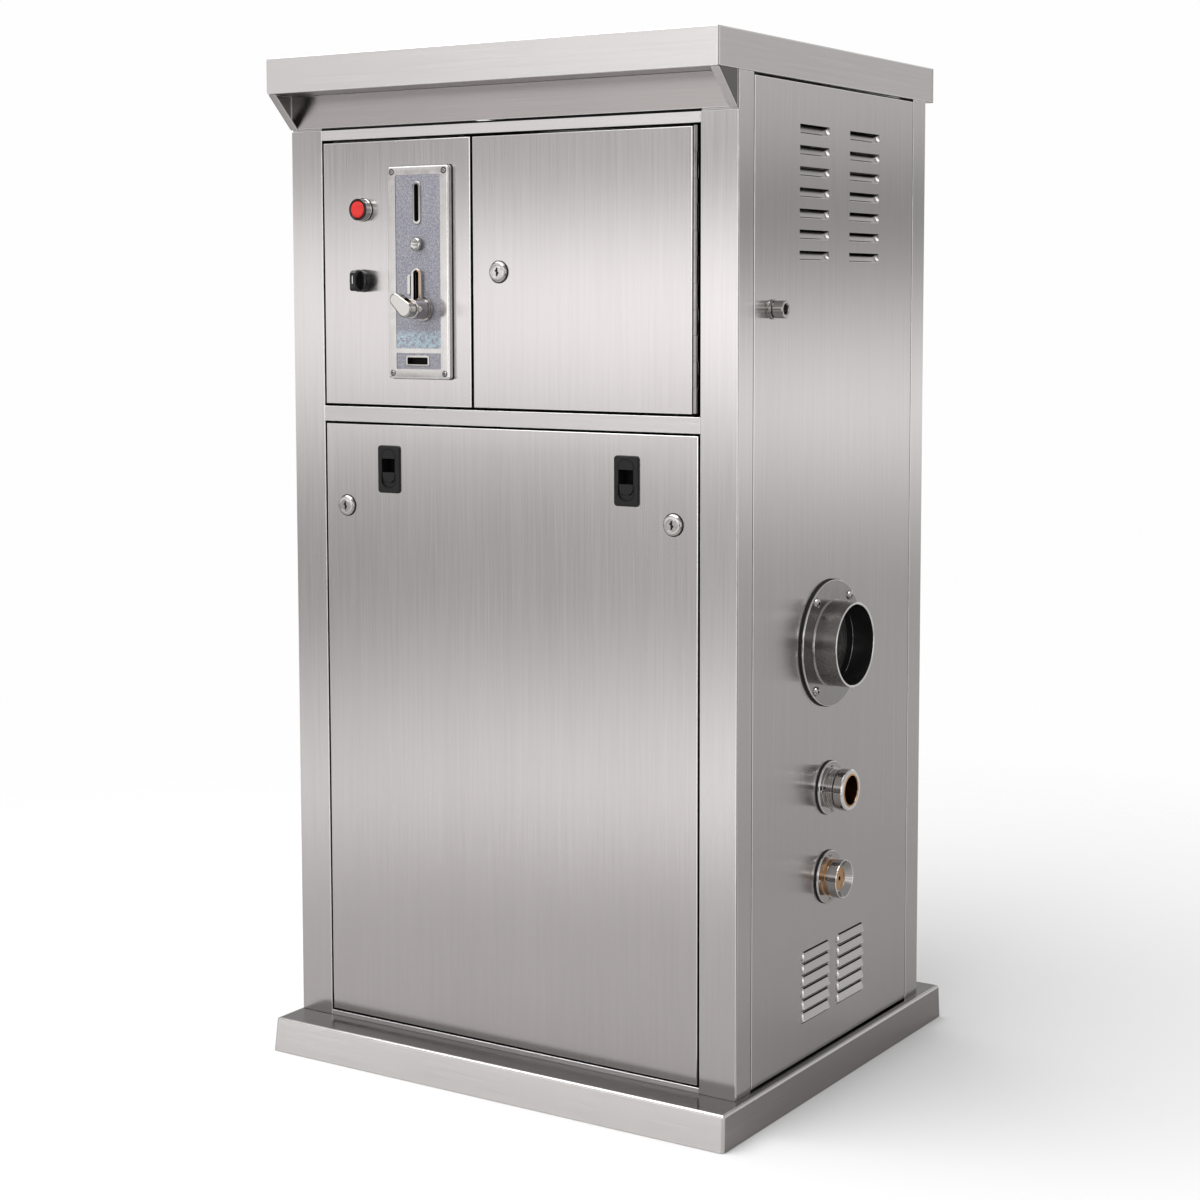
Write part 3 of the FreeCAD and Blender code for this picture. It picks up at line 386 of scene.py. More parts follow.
# holes in a flat plate: outer outline and inner outlines, filled and given thickness
def plate(bm, plane, outer, holes, a0, a1, mat=0, bevel=0.0, edge=None, hole_mat=None, inward=1):
    """Flat plate between a0 (seen face) and a1, with holes; the seen face's outer edge is rounded by bevel."""
    t = bmesh.new()
    def at(p, a):
        return {"xz": Vector((p[0], a, p[1])), "yz": Vector((a, p[0], p[1]))}[plane] * MM
    s = 1 if a1 > a0 else -1
    cx = sum(p[0] for p in outer) / len(outer)
    cz = sum(p[1] for p in outer) / len(outer)
    def inset(pts, d):
        n = len(pts)
        res = []
        for i in range(n):
            p0, p1, p2 = Vector(pts[i - 1]), Vector(pts[i]), Vector(pts[(i + 1) % n])
            e1, e2 = (p1 - p0), (p2 - p1)
            if e1.length < 1e-9: e1 = e2
            if e2.length < 1e-9: e2 = e1
            e1.normalize(); e2.normalize()
            n1, n2 = Vector((-e1.y, e1.x)), Vector((-e2.y, e2.x))
            m = n1 + n2
            m = m / max(m.length_squared, 0.5) * 2 * 0.5 * 2
            k = 1 / max(0.35, (1 + n1.dot(n2)) / 2)
            b = (n1 + n2)
            b.normalize()
            res.append(tuple(p1 + b * d * math.sqrt(k)))
        return res
    steps = 3 if bevel > 0 else 0
    loops = []
    if bevel > 0:
        for q_ in range(steps + 1):
            w = math.pi / 2 * q_ / steps
            loops.append((inset(outer, bevel * (1 - math.sin(w))), a0 + s * bevel * (1 - math.cos(w))))
    else:
        loops.append((outer, a0))
    rings = [[t.verts.new(at(p, a)) for p in pts] for pts, a in loops]
    back = [t.verts.new(at(p, a1)) for p in outer]
    n = len(outer)
    for A, B in zip(rings, rings[1:]):
        for i in range(n):
            f = t.faces.new((A[i], A[(i + 1) % n], B[(i + 1) % n], B[i]))
            f.material_index = edge if edge is not None else mat
    for i in range(n):
        f = t.faces.new((rings[-1][i], rings[-1][(i + 1) % n], back[(i + 1) % n], back[i]))
        f.material_index = mat
    fr, bk = [rings[0]], [back]
    for h in holes:
        H0 = [t.verts.new(at(p, a0)) for p in h]
        H1 = [t.verts.new(at(p, a1)) for p in h]
        m_ = len(h)
        for i in range(m_):
            f = t.faces.new((H0[i], H0[(i + 1) % m_], H1[(i + 1) % m_], H1[i]))
            f.material_index = hole_mat if hole_mat is not None else mat
        fr.append(H0)
        bk.append(H1)
    for group in (fr, bk):
        es = []
        for L in group:
            for i in range(len(L)):
                e = t.edges.get((L[i], L[(i + 1) % len(L)])) or t.edges.new((L[i], L[(i + 1) % len(L)]))
                es.append(e)
        r = bmesh.ops.triangle_fill(t, use_beauty=True, use_dissolve=False, edges=es)
        for f in r["geom"]:
            if isinstance(f, bmesh.types.BMFace):
                f.material_index = mat
    merge(bm, t)

def circle(cx, cz, r, n=48):
    return [(cx + r * math.cos(2 * math.pi * k / n), cz + r * math.sin(2 * math.pi * k / n)) for k in range(n)]

def nb(node):
    """Node's box in millimetres: x0, x1, y0, y1, z0, z1."""
    lo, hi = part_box(node)
    return lo[0] / MM, hi[0] / MM, lo[1] / MM, hi[1] / MM, lo[2] / MM, hi[2] / MM

cab = "cabinet"
X0, X1, YR, YB, ZR0, ZR1 = nb("roof_cap")      # roof edges
FY = nb("front_post_left")[2]                  # front plane
TOP = ZR0
W2 = X1

# ------------------------------------------------------------------- frame
def posts():
    for side, s in (("left", -1), ("right", 1)):
        x0, x1, y0, y1, z0, z1 = nb("front_post_" + side)
        def bx(bm, a, b, *rest, **kw):
            lo, hi = (a, b) if s > 0 else (-b, -a)
            add_box(bm, lo, hi, *rest, **kw)
        o, i = W2, W2 - (x1 - x0)
        bm = bmesh.new()
        lipy = nb("side_panel_" + side)[2] - 1
        bx(bm, i, o - 0.1, FY, FY + 2, z0, 1248.6, bevel=1.0, edge=1)
        bx(bm, o - 2, o, FY + 2.3, lipy - 0.8, z0, z1, bevel=0.8, edge=1)
        # hole strips at the corner seam and beside the side panel, and the hole-black inner returns: painted shadow in
        # the gaps
        bx(bm, o - 1.6, o - 0.3, FY + 1.2, FY + 2.5, z0 + 1, 1248, mat=2)
        bx(bm, o - 2.2, o - 0.6, lipy - 0.9, lipy + 0.95, z0 + 5, z1 - 1, mat=2)
        bx(bm, i, i + 2, FY + 1.6, FY + 24, z0, 1249.2, bevel=0.3, mat=2)
        bx(bm, o - 4, o - 2, lipy - 2, y1, z0, z1, bevel=0.2, mat=2)
        bx(bm, i + 1, o - 2, FY + 1.4, FY + 2.4, 1244, z1)
        finish_obj("front_post_%s_folded" % side, bm, ["frame", "edge", "hole"], cab, ["front_post_" + side])
        x0, x1, y0, y1, z0, z1 = nb("rear_post_" + side)
        lipy = nb("side_panel_" + side)[3] + 1
        i = W2 - (x1 - x0)
        bm = bmesh.new()
        bx(bm, i, o - 0.6, y1 - 2, y1, z0, z1, bevel=0.8, edge=1)
        bx(bm, o - 2, o, lipy + 0.6, y1 - 0.8, z0, z1, bevel=0.7, edge=1)
        # hole strip beside the side panel and hole-black inner return: painted shadow in the gaps
        bx(bm, o - 2.2, o - 0.6, lipy - 0.95, lipy + 0.7, z0 + 5, z1 - 1, mat=2)
        bx(bm, o - 4, o - 2, y0, lipy + 2, z0, z1, bevel=0.2, mat=2)
        finish_obj("rear_post_%s_folded" % side, bm, ["frame", "edge", "hole"], cab, ["rear_post_" + side])

def rails():
    for name, up, dn in (("header_rail", 0, 1), ("middle_rail", 1, 1), ("sill_rail", 1, 0)):
        x0, x1, y0, y1, z0, z1 = nb(name)
        bm = bmesh.new()
        # the header rail's face stops 2 mm short of its top so that the black strip behind it shows: painted shadow
        # under the canopy
        zt = z1 - 2.0 if name == "header_rail" else z1
        add_box(bm, x0 + 0.15, x1 - 0.15, FY, FY + 2, z0, zt, bevel=0.7, mat=0, edge=1)
        # returns behind the face in hole black: painted shade
        if up:
            add_box(bm, x0 + 0.15, x1 - 0.15, FY + 1.6, y1, z1 - 2, z1, bevel=0.3, mat=2)
        if dn:
            add_box(bm, x0 + 0.15, x1 - 0.15, FY + 1.6, y1, z0, z0 + 2, bevel=0.3, mat=2)
        if name == "header_rail":
            add_box(bm, x0 + 0.2, x1 - 0.2, FY + 1.6, FY + 2.4, z0 + 1, z1, mat=2)
        finish_obj(name + "_folded", bm, ["cap", "edge", "hole"], cab, [name])
    # the centre mullion is drawn all in hole black: painted shade in the gap between the panels
    bm = bmesh.new()
    x0, x1, y0, y1, z0, z1 = nb("centre_mullion")
    add_box(bm, x0, x0 + 2, y0, y0 + 15, z0, z1, bevel=0.3)
    add_box(bm, x0, x1, y0 + 13, y0 + 15, z0, z1, bevel=0.3)
    add_box(bm, x1 - 2, x1, y0 + 13, y1, z0, z1, bevel=0.3)
    finish_obj("centre_mullion_folded", bm, ["hole"], cab, ["centre_mullion"])

def canopy():
    x0, x1, y0, y1, z0, z1 = nb("canopy_panel")
    bm = bmesh.new()
    add_box(bm, x0 + 0.2, x1 - 0.2, y0, y1 - 0.2, z0 + 0.8, z1, bevel=0.7, mat=0, edge=1)
    finish_obj("canopy_panel_sheet", bm, ["canopy", "edge"], cab, ["canopy_panel"])
    bx0, bx1, by0, by1, bz0, bz1 = nb("canopy_brackets")
    bm = bmesh.new()
    d = by1 - by0
    for s in (-1, 1):
        def rng(a, b):
            return (a, b) if s > 0 else (-b, -a)
        a, b = rng(W2 - 1.8, W2)
        # the web takes ledge, a near-black steel: painted shade; the thin edge strip set on it is a painted highlight
        web = [(by1, bz0 + 0.5), (by1, bz1), (by0 + 0.6, bz1)]
        prism(bm, web, "yz", a, b, mat=2, bevel=0.35, edge=2)
        a, b = rng(W2 - 12, W2 - 0.2)
        strip = [(by1, bz0), (by1, bz0 + 2.6), (by0 + 2.6, bz1), (by0, bz1)]
        prism(bm, strip, "yz", a, b, mat=0, bevel=0.7, edge=1)
        a, b = rng(W2 - 2.6, W2 - 1.4)
        add_box(bm, min(a, b), max(a, b), by1 - 0.9, by1 - 0.1, bz0 + 3, bz1 - 0.3, bevel=0.3, mat=1)
    finish_obj("canopy_brackets_folded", bm, ["cap", "edge", "ledge"], cab, ["canopy_brackets"])

def roof():
    bm = bmesh.new()
    z0, z1 = ZR0, ZR1
    r = 3.6
    # top sheet folded down over the front and back, side fascias set in between with a thin seam
    gap = 1.1
    add_box(bm, X0 + 1.0, X1 - 1.0, YR + 1.0, YB - 1.0, z1 - 2.2, z1 - 0.5, bevel=0.4, mat=2)
    # front and back fascia with rounded ends
    for ya, yb in ((YR, YR + 2.6), (YB - 2.6, YB)):
        prism(bm, rounded(X0, X1, z0, z1, 3.8, corners=(0, 0, 1, 1)), "xz", ya, yb, mat=0, bevel=1.15, edge=3, seg=3)
    for xa, xb in ((X0 + 0.3, X0 + 9.0), (X1 - 9.0, X1)):
        add_box(bm, xa, xb, YR + 3.6, YB - 3.6, z0, z1 - 0.02, bevel=1.5, seg=3, mat=1, edge=3)
    # black strips in the seams between the front, back and side fascias: painted shadow
    for ya, yb in ((YR + 2.3, YR + 4.0), (YB - 4.0, YB - 2.3)):
        add_box(bm, X0 + 1.6, X1 - 0.55, ya, yb, z0 + 0.6, z1 - 0.6, mat=4)
    add_box(bm, X0 + 3, X1 - 3, YR + 3, YB - 3, z1 - 1.2, z1 - 0.03, mat=2)
    add_box(bm, X0 + 2, X1 - 2, YR + 2, FY + 4, z0 + 0.2, z0 + 2, mat=2)
    add_box(bm, X0 + 2, X1 - 2, -FY - 4, YB - 2, z0 + 0.2, z0 + 2, mat=2)
    add_box(bm, X0 + 2, X0 + 15, YR + 2, YB - 2, z0 + 0.25, z0 + 1.9, mat=2)
    add_box(bm, X1 - 15, X1 - 2, YR + 2, YB - 2, z0 + 0.25, z0 + 1.9, mat=2)
    finish_obj("roof_cap_folded", bm, ["cap", "capy", "captop", "edge", "hole"], cab, ["roof_cap"], angle=50)

def plinth():
    x0, x1, y0, y1, z0, z1 = nb("base_plinth")
    # corners at the floor and at the top, the front and sides flare a little towards the floor
    fs, ff = 2.0, 4.7
    bm = bmesh.new()
    t = bmesh.new()
    lo = [(x0, y0), (x1, y0), (x1, y1), (x0, y1)]
    hi = [(x0 + fs, y0 + ff), (x1 - fs, y0 + ff), (x1 - fs, y1), (x0 + fs, y1)]
    A = [t.verts.new((p[0], p[1], 0)) for p in lo]
    B = [t.verts.new((p[0], p[1], z1)) for p in hi]
    skirt = []
    # front and back take basefront, a lighter copy of the steel (painted light); the sides take baseside, a darker copy
    # (painted shade); the top and flange take near-black ledge (painted shade) and the roundings take edge2 (painted
    # highlight)
    for i in range(4):
        f = t.faces.new((A[i], A[(i + 1) % 4], B[(i + 1) % 4], B[i]))
        f.material_index = 0 if i in (0, 2) else 1
    # top ring with the openings left by the inner parts
    I = [t.verts.new((p[0], p[1], z1)) for p in ((-120, -60), (60, -60), (60, 120), (-120, 120))]
    for i in range(4):
        f = t.faces.new((B[i], B[(i + 1) % 4], I[(i + 1) % 4], I[i]))
        f.material_index = 2
    # bottom flange
    J = [t.verts.new((p[0], p[1], 0)) for p in ((-280, -212), (280, -212), (280, 212), (-280, 212))]
    for i in range(4):
        f = t.faces.new((A[(i + 1) % 4], A[i], J[i], J[(i + 1) % 4]))
        f.material_index = 2
    bmesh.ops.recalc_face_normals(t, faces=t.faces)
    es = [e for e in t.edges if len(e.link_faces) == 2 and e.calc_face_angle(0) > 0.3 and
          all(v.co.z > z1 - 1 for v in e.verts)]
    es += [e for e in t.edges if abs(e.verts[0].co.z - e.verts[1].co.z) > 10]
    bmesh.ops.bevel(t, geom=es, offset=3.6, segments=6, profile=0.5, affect="EDGES", material=3, clamp_overlap=True)
    bmesh.ops.recalc_face_normals(t, faces=t.faces)
    ret = bmesh.ops.solidify(t, geom=t.faces[:], thickness=2.4)
    for v in t.verts:
        v.co *= MM
    merge(bm, t)
    finish_obj("base_plinth_folded", bm, ["basefront", "baseside", "ledge", "edge2"], cab, ["base_plinth"], angle=50)

def chain_louvre(t, y0, ln, ztop, h, depth, r, flip):
    """One pressed louvre in the skin's own plane (x is depth). Returns its outline, for the hole in the skin.
    flip False: cut along the top and pressed in; flip True: cut along the foot and pressed out."""
    xs = W2
    n = 6
    pts = []
    def P(u, w):
        return (y0 + u, (ztop - w) if not flip else (ztop - h + w))
    # w runs from the cut edge (0) to the closed edge (h)
    pts.append(P(0, 0))
    pts.append(P(0, (h - r) * 0.5))
    for k in range(n + 1):
        a = math.pi / 2 * k / n
        pts.append(P(r - r * math.cos(a), h - r + r * math.sin(a)))
    for k in range(n + 1):
        a = math.pi / 2 * k / n
        pts.append(P(ln - r + r * math.sin(a), h - r + r * math.cos(a)))
    pts.append(P(ln, (h - r) * 0.5))
    pts.append(P(ln, 0))
    C = [t.verts.new((xs, p[0], p[1])) for p in pts]
    def dist(p):
        w = (ztop - p[1]) if not flip else (p[1] - ztop + h)
        return w
    def inner(p, e, share):
        u = p[0] - y0
        w = dist(p)
        u2 = min(max(u, e + 0.0), ln - e)
        if r > 0 and w > h - r:
            c = r if u < ln / 2 else ln - r
            dx, dz = u - c, w - (h - r)
            L = max(math.hypot(dx, dz), 1e-6)
            if (u < r or u > ln - r):
                u2 = c + dx / L * (L - e)
                w = (h - r) + dz / L * (L - e)
            else:
                w = min(w, h - e)
        w = min(w, h - e)
        w = max(w, 1.5 if not flip else 0.2)
        d = (0.9 + (depth - 0.9) * (1 - w / h)) * share
        q_ = P(u2, w)
        return (xs - d if not flip else xs + d, q_[0], q_[1])
    Ms = [t.verts.new(inner(p, 0.7, 0.35)) for p in pts]
    I = [t.verts.new(inner(p, 1.9, 1.0)) for p in pts]
    m = len(pts)
    # walls take edge (painted highlight), canopy (painted shade) or hole black (painted shadow); a lower hood's face
    # takes hood, a darker copy of the steel (painted shade)
    for A, B in ((C, Ms), (Ms, I)):
        for i in range(m - 1):
            f = t.faces.new((A[i], A[i + 1], B[i + 1], B[i]))
            top = i == m // 2 - 1
            if flip:
                f.material_index = (1 if B is I else 3) if i < m // 2 - 1 else (2 if (top or i < m // 2 + 4) else 1)
            else:
                f.material_index = 1 if i > m // 2 or (top and A is C) else (3 if A is C else 0)
    half = m // 2
    for i in range(half - 1):
        f = t.faces.new((I[i], I[i + 1], I[m - 2 - i], I[m - 1 - i]))
        f.material_index = 4 if flip else 0
    return C

def side_skins():
    ya, yb, za, zb = nb("side_panel_right")[2:6]
    za, zb = za - 2.6, max(zb, 1291.5)
    for side, s in (("right", 1), ("left", -1)):
        t = bmesh.new()
        loops = []
        if s > 0:
            for y0, ln, z0, pitch, rows, h, dep, flip in (
                    (154.0, 78.5, 1241.0, 26.05, 7, 12.0, 6.2, False), (290.0, 85.0, 1240.6, 26.05, 7, 12.0, 6.2, False),
                    (170.0, 74.0, 189.0, 15.85, 6, 11.6, 4.2, True), (268.0, 74.0, 189.0, 15.85, 6, 11.6, 4.2, True)):
                for k in range(rows):
                    loops.append(chain_louvre(t, FY + y0, ln, z0 - pitch * k, h, dep, 4.0, flip))
        if s > 0:
            lb = bmesh.new()
            # under each lower hood a black strip on the sheet stands for its shadow: painted shadow; the lip below
            # takes edge, a painted highlight
            for y0 in (170.0, 268.0):
                for k in range(6):
                    foot = 189.0 - 15.85 * k - 11.6
                    add_box(lb, W2 - 0.3, W2 + 0.12, FY + y0 + 1.0, FY + y0 + 73.0, foot - 3.6, foot - 2.7, mat=1)
                    add_box(lb, W2 + 3.3, W2 + 4.3, FY + y0 + 2.2, FY + y0 + 71.8, foot + 0.1, foot + 0.75, bevel=0.25, mat=0)
            finish_obj("louvre_lips_and_painted_shadows_right", lb, ["edge", "hole"], cab, ())
        b = 1.1
        rings = []
        for q_ in range(4):
            w = math.pi / 2 * q_ / 3
            i = b * (1 - math.sin(w))
            d = b * (1 - math.cos(w))
            rings.append([t.verts.new((W2 - d, y, z)) for y, z in ((ya + i, za + i), (yb - i, za + i), (yb - i, zb - i), (ya + i, zb - i))])
        for A, B in zip(rings, rings[1:]):
            for i in range(4):
                f = t.faces.new((A[i], A[(i + 1) % 4], B[(i + 1) % 4], B[i]))
                f.material_index = 1
        es = []
        for L in [rings[0]] + loops:
            for i in range(len(L)):
                a_, b_ = L[i], L[(i + 1) % len(L)]
                es.append(t.edges.get((a_, b_)) or t.edges.new((a_, b_)))
        bmesh.ops.triangle_fill(t, use_beauty=True, use_dissolve=False, edges=es)
        bmesh.ops.recalc_face_normals(t, faces=t.faces)
        big = max(t.faces, key=lambda f: f.calc_area())
        if big.normal.x < 0:
            bmesh.ops.reverse_faces(t, faces=t.faces)
        for v in t.verts:
            v.co = Vector((v.co.x * s, v.co.y, v.co.z)) * MM
        if s < 0:
            bmesh.ops.reverse_faces(t, faces=t.faces)
        me = bpy.data.meshes.new("side_skin_" + side)
        t.to_mesh(me)
        t.free()
        for k in ("sheet", "edge", "hole", "canopy", "hood"):
            me.materials.append(M[k])
        o = bpy.data.objects.new("side_panel_%s_pressed" % side, me)
        bpy.context.collection.objects.link(o)
        md = o.modifiers.new("thick", "SOLIDIFY")
        md.thickness = 1.2 * MM
        md.offset = -1
        md.use_even_offset = False
        bpy.context.view_layer.update()
        dg = bpy.context.evaluated_depsgraph_get()
        me2 = bpy.data.meshes.new_from_object(o.evaluated_get(dg))
        o.modifiers.clear()
        o.data = me2
        for p in me2.polygons:
            p.use_smooth = True
        me2.set_sharp_from_angle(angle=math.radians(24))
        weigh(o)
        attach(o, cab)
        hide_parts("side_panel_" + side)

def rear():
    x0, x1, y0, y1, z0, z1 = nb("rear_panel")
    bm = bmesh.new()
    add_box(bm, x0, x1, y0, y1, z0, z1, bevel=0.7, edge=1)
    finish_obj("rear_panel_sheet", bm, ["sheet", "edge"], cab, ["rear_panel"])

def pan(name, node, holes, body):
    """Folded pan: face sheet with a rounded fold and a return on each side, but none on the control panel's right side.
    """
    x0, x1, y0, y1, z0, z1 = nb(node)
    x0, x1, z0, z1 = x0 + 0.5, x1 - 0.5, z0 + 0.3, z1 - 0.6
    bm = bmesh.new()
    plate(bm, "xz", [(x0, z0), (x1, z0), (x1, z1), (x0, z1)], holes, y0, y0 + 2, mat=0, bevel=1.1, edge=1, hole_mat=0)
    right = node != "control_panel"
    add_box(bm, x0, x0 + 2, y0 + 1.8, y1, z0, z1, bevel=0.25)
    if right:
        add_box(bm, x1 - 2, x1, y0 + 1.8, y1, z0, z1, bevel=0.25)
    xb = x1 if right else x1
    add_box(bm, x0 + 1.8, xb, y0 + 1.8, y1, z1 - 2, z1, bevel=0.25)
    add_box(bm, x0 + 1.8, xb, y0 + 1.8, y1, z0, z0 + 2, bevel=0.25)
    return finish_obj(name, bm, ["sheet", "edge"], body, [node])

kx = (nb("red_button")[0] + nb("red_button")[1]) / 2
bz = (nb("red_button")[4] + nb("red_button")[5]) / 2
sz = (nb("selector_bezel")[4] + nb("selector_bezel")[5]) / 2
cpx0, cpx1, cpy0, cpy1, cpz0, cpz1 = nb("coin_plate")
qx, qz, qy = (cpx0 + cpx1) / 2, (cpz0 + cpz1) / 2, cpy0
dlx, dlz = [(nb("door_lock_plug")[a] + nb("door_lock_plug")[a + 1]) / 2 for a in (0, 4)]
plx = (nb("service_lock_plug_right")[0] + nb("service_lock_plug_right")[1]) / 2
plz = (nb("service_lock_plug_right")[4] + nb("service_lock_plug_right")[5]) / 2
pulls = {}
for s in ("left", "right"):
    b_ = nb("pull_slider_" + s)
    pulls[s] = (b_[0] + b_[1]) / 2
puz = nb("pull_housings")[4] + 31.5

def panels():
    pan("control_panel_pan", "control_panel", [circle(kx, bz, 11.2), circle(kx, sz, 11.2),
                                               rounded(qx - 39, qx + 39, qz - 126, qz + 128, 2)], cab)
    pan("upper_door_pan", "upper_door", [circle(dlx, dlz, 9.7)], "upper_door")
    pan("service_panel_pan", "service_panel", [circle(plx, plz, 9.7), circle(-plx, plz, 9.7)] +
        [rounded(x - 14, x + 14, puz - 27, puz + 27, 3) for x in pulls.values()], "service_panel")

posts(); rails(); canopy(); roof(); plinth(); side_skins(); rear(); panels()

# ------------------------------------------------------------- hinge
def hinge():
    for node, body in (("hinge_frame_leaf", cab), ("hinge_door_leaf", "upper_door")):
        src = NODES[node]
        bm = bmesh.new()
        bm.from_mesh(src.data)
        bmesh.ops.remove_doubles(bm, verts=bm.verts, dist=1e-6)
        finish_obj(node + "_rolled", bm, ["turned"], body, [node], angle=40)

hinge()

# ------------------------------------------------------------- small parts
def controls():
    # pushbutton bezel: dark front ring, chrome body
    bm = bmesh.new()
    lathe(bm, "y", kx, bz, [(FY - 0.05, 15.3, 1), (FY - 1.2, 15.3, 1), (FY - 1.6, 14.9, 0), (FY - 2.2, 14.1, 0), (FY - 10.4, 14.1, 0),
                            (FY - 11.4, 14.4, 2), (FY - 12.4, 14.2, 2), (FY - 13.0, 13.6, 2), (FY - 13.0, 12.2, 2),
                            (FY - 12.2, 11.4, 2), (FY - 4.2, 11.35, 2), (FY - 4.0, 5.5, 2), (FY + 12, 5.5, 2), (FY + 17, 5.0, 2),
                            (FY + 17, 11.0, 0), (FY - 0.05, 11.0, 0)])
    add_box(bm, kx - 14, kx + 14, FY + 17, FY + 50, bz - 20, bz + 20, bevel=1.5, mat=2)
    finish_obj("button_bezel_turned", bm, ["chrome", "rubber", "blackgloss"], cab, ["button_bezel"])
    bm = bmesh.new()
    lathe(bm, "y", kx, bz, [(FY - 13.5, 0, 0), (FY - 13.45, 8.5, 0), (FY - 13.1, 10.3, 0), (FY - 12.3, 11.0, 0), (FY - 9.5, 11.0, 0),
                            (FY - 9.5, 5.0, 0), (FY + 4, 5.0, 0), (FY + 4, 0, 0)], closed=False)
    finish_obj("red_button_cap", bm, ["red"], "red_button", ["red_button"])
    # selector switch
    bm = bmesh.new()
    lathe(bm, "y", kx, sz, [(FY - 0.05, 15.0, 0), (FY - 1.5, 15.0, 0), (FY - 2.2, 14.4, 0), (FY - 6.2, 14.4, 0), (FY - 7.0, 13.8, 0),
                            (FY - 7.0, 5.5, 0), (FY + 12, 5.5, 0), (FY + 17, 5.0, 0), (FY + 17, 11.0, 0), (FY - 0.05, 11.0, 0)])
    add_box(bm, kx - 14, kx + 14, FY + 17, FY + 50, sz - 20, sz + 20, bevel=1.5)
    finish_obj("selector_bezel_moulded", bm, ["black"], cab, ["selector_bezel"])
    bm = bmesh.new()
    lathe(bm, "y", kx, sz, [(FY - 14.0, 0, 0), (FY - 14.0, 12.4, 0), (FY - 13.4, 13.9, 0), (FY - 12.2, 14.6, 0), (FY - 7.4, 14.6, 0),
                            (FY - 7.4, 5.0, 0), (FY + 8, 5.0, 0), (FY + 8, 0, 0)], closed=False)
    yf, yr = FY - 24.6, FY - 12.5
    pts = [(yr, sz - 13.6)]
    for cz, rr, a0 in ((sz - 13.6 + 3.5, 3.5, 270), (sz + 13.6 - 6.5, 6.5, 180)):
        for k in range(7):
            a = math.radians(a0 - 90 * k / 6)
            pts.append((yf + rr + rr * math.cos(a), cz + rr * math.sin(a)))
    pts.append((yr, sz + 13.6))
    prism(bm, pts, "yz", kx - 5.0, kx + 5.0, mat=0, bevel=1.2, seg=3)
    add_box(bm, kx - 0.7, kx + 0.7, FY - 24.75, FY - 23.5, sz - 4, sz + 6.5, bevel=0.3, mat=1)
    finish_obj("selector_knob_moulded", bm, ["blackgloss", "white"], "selector_knob", ["selector_knob"])

controls()

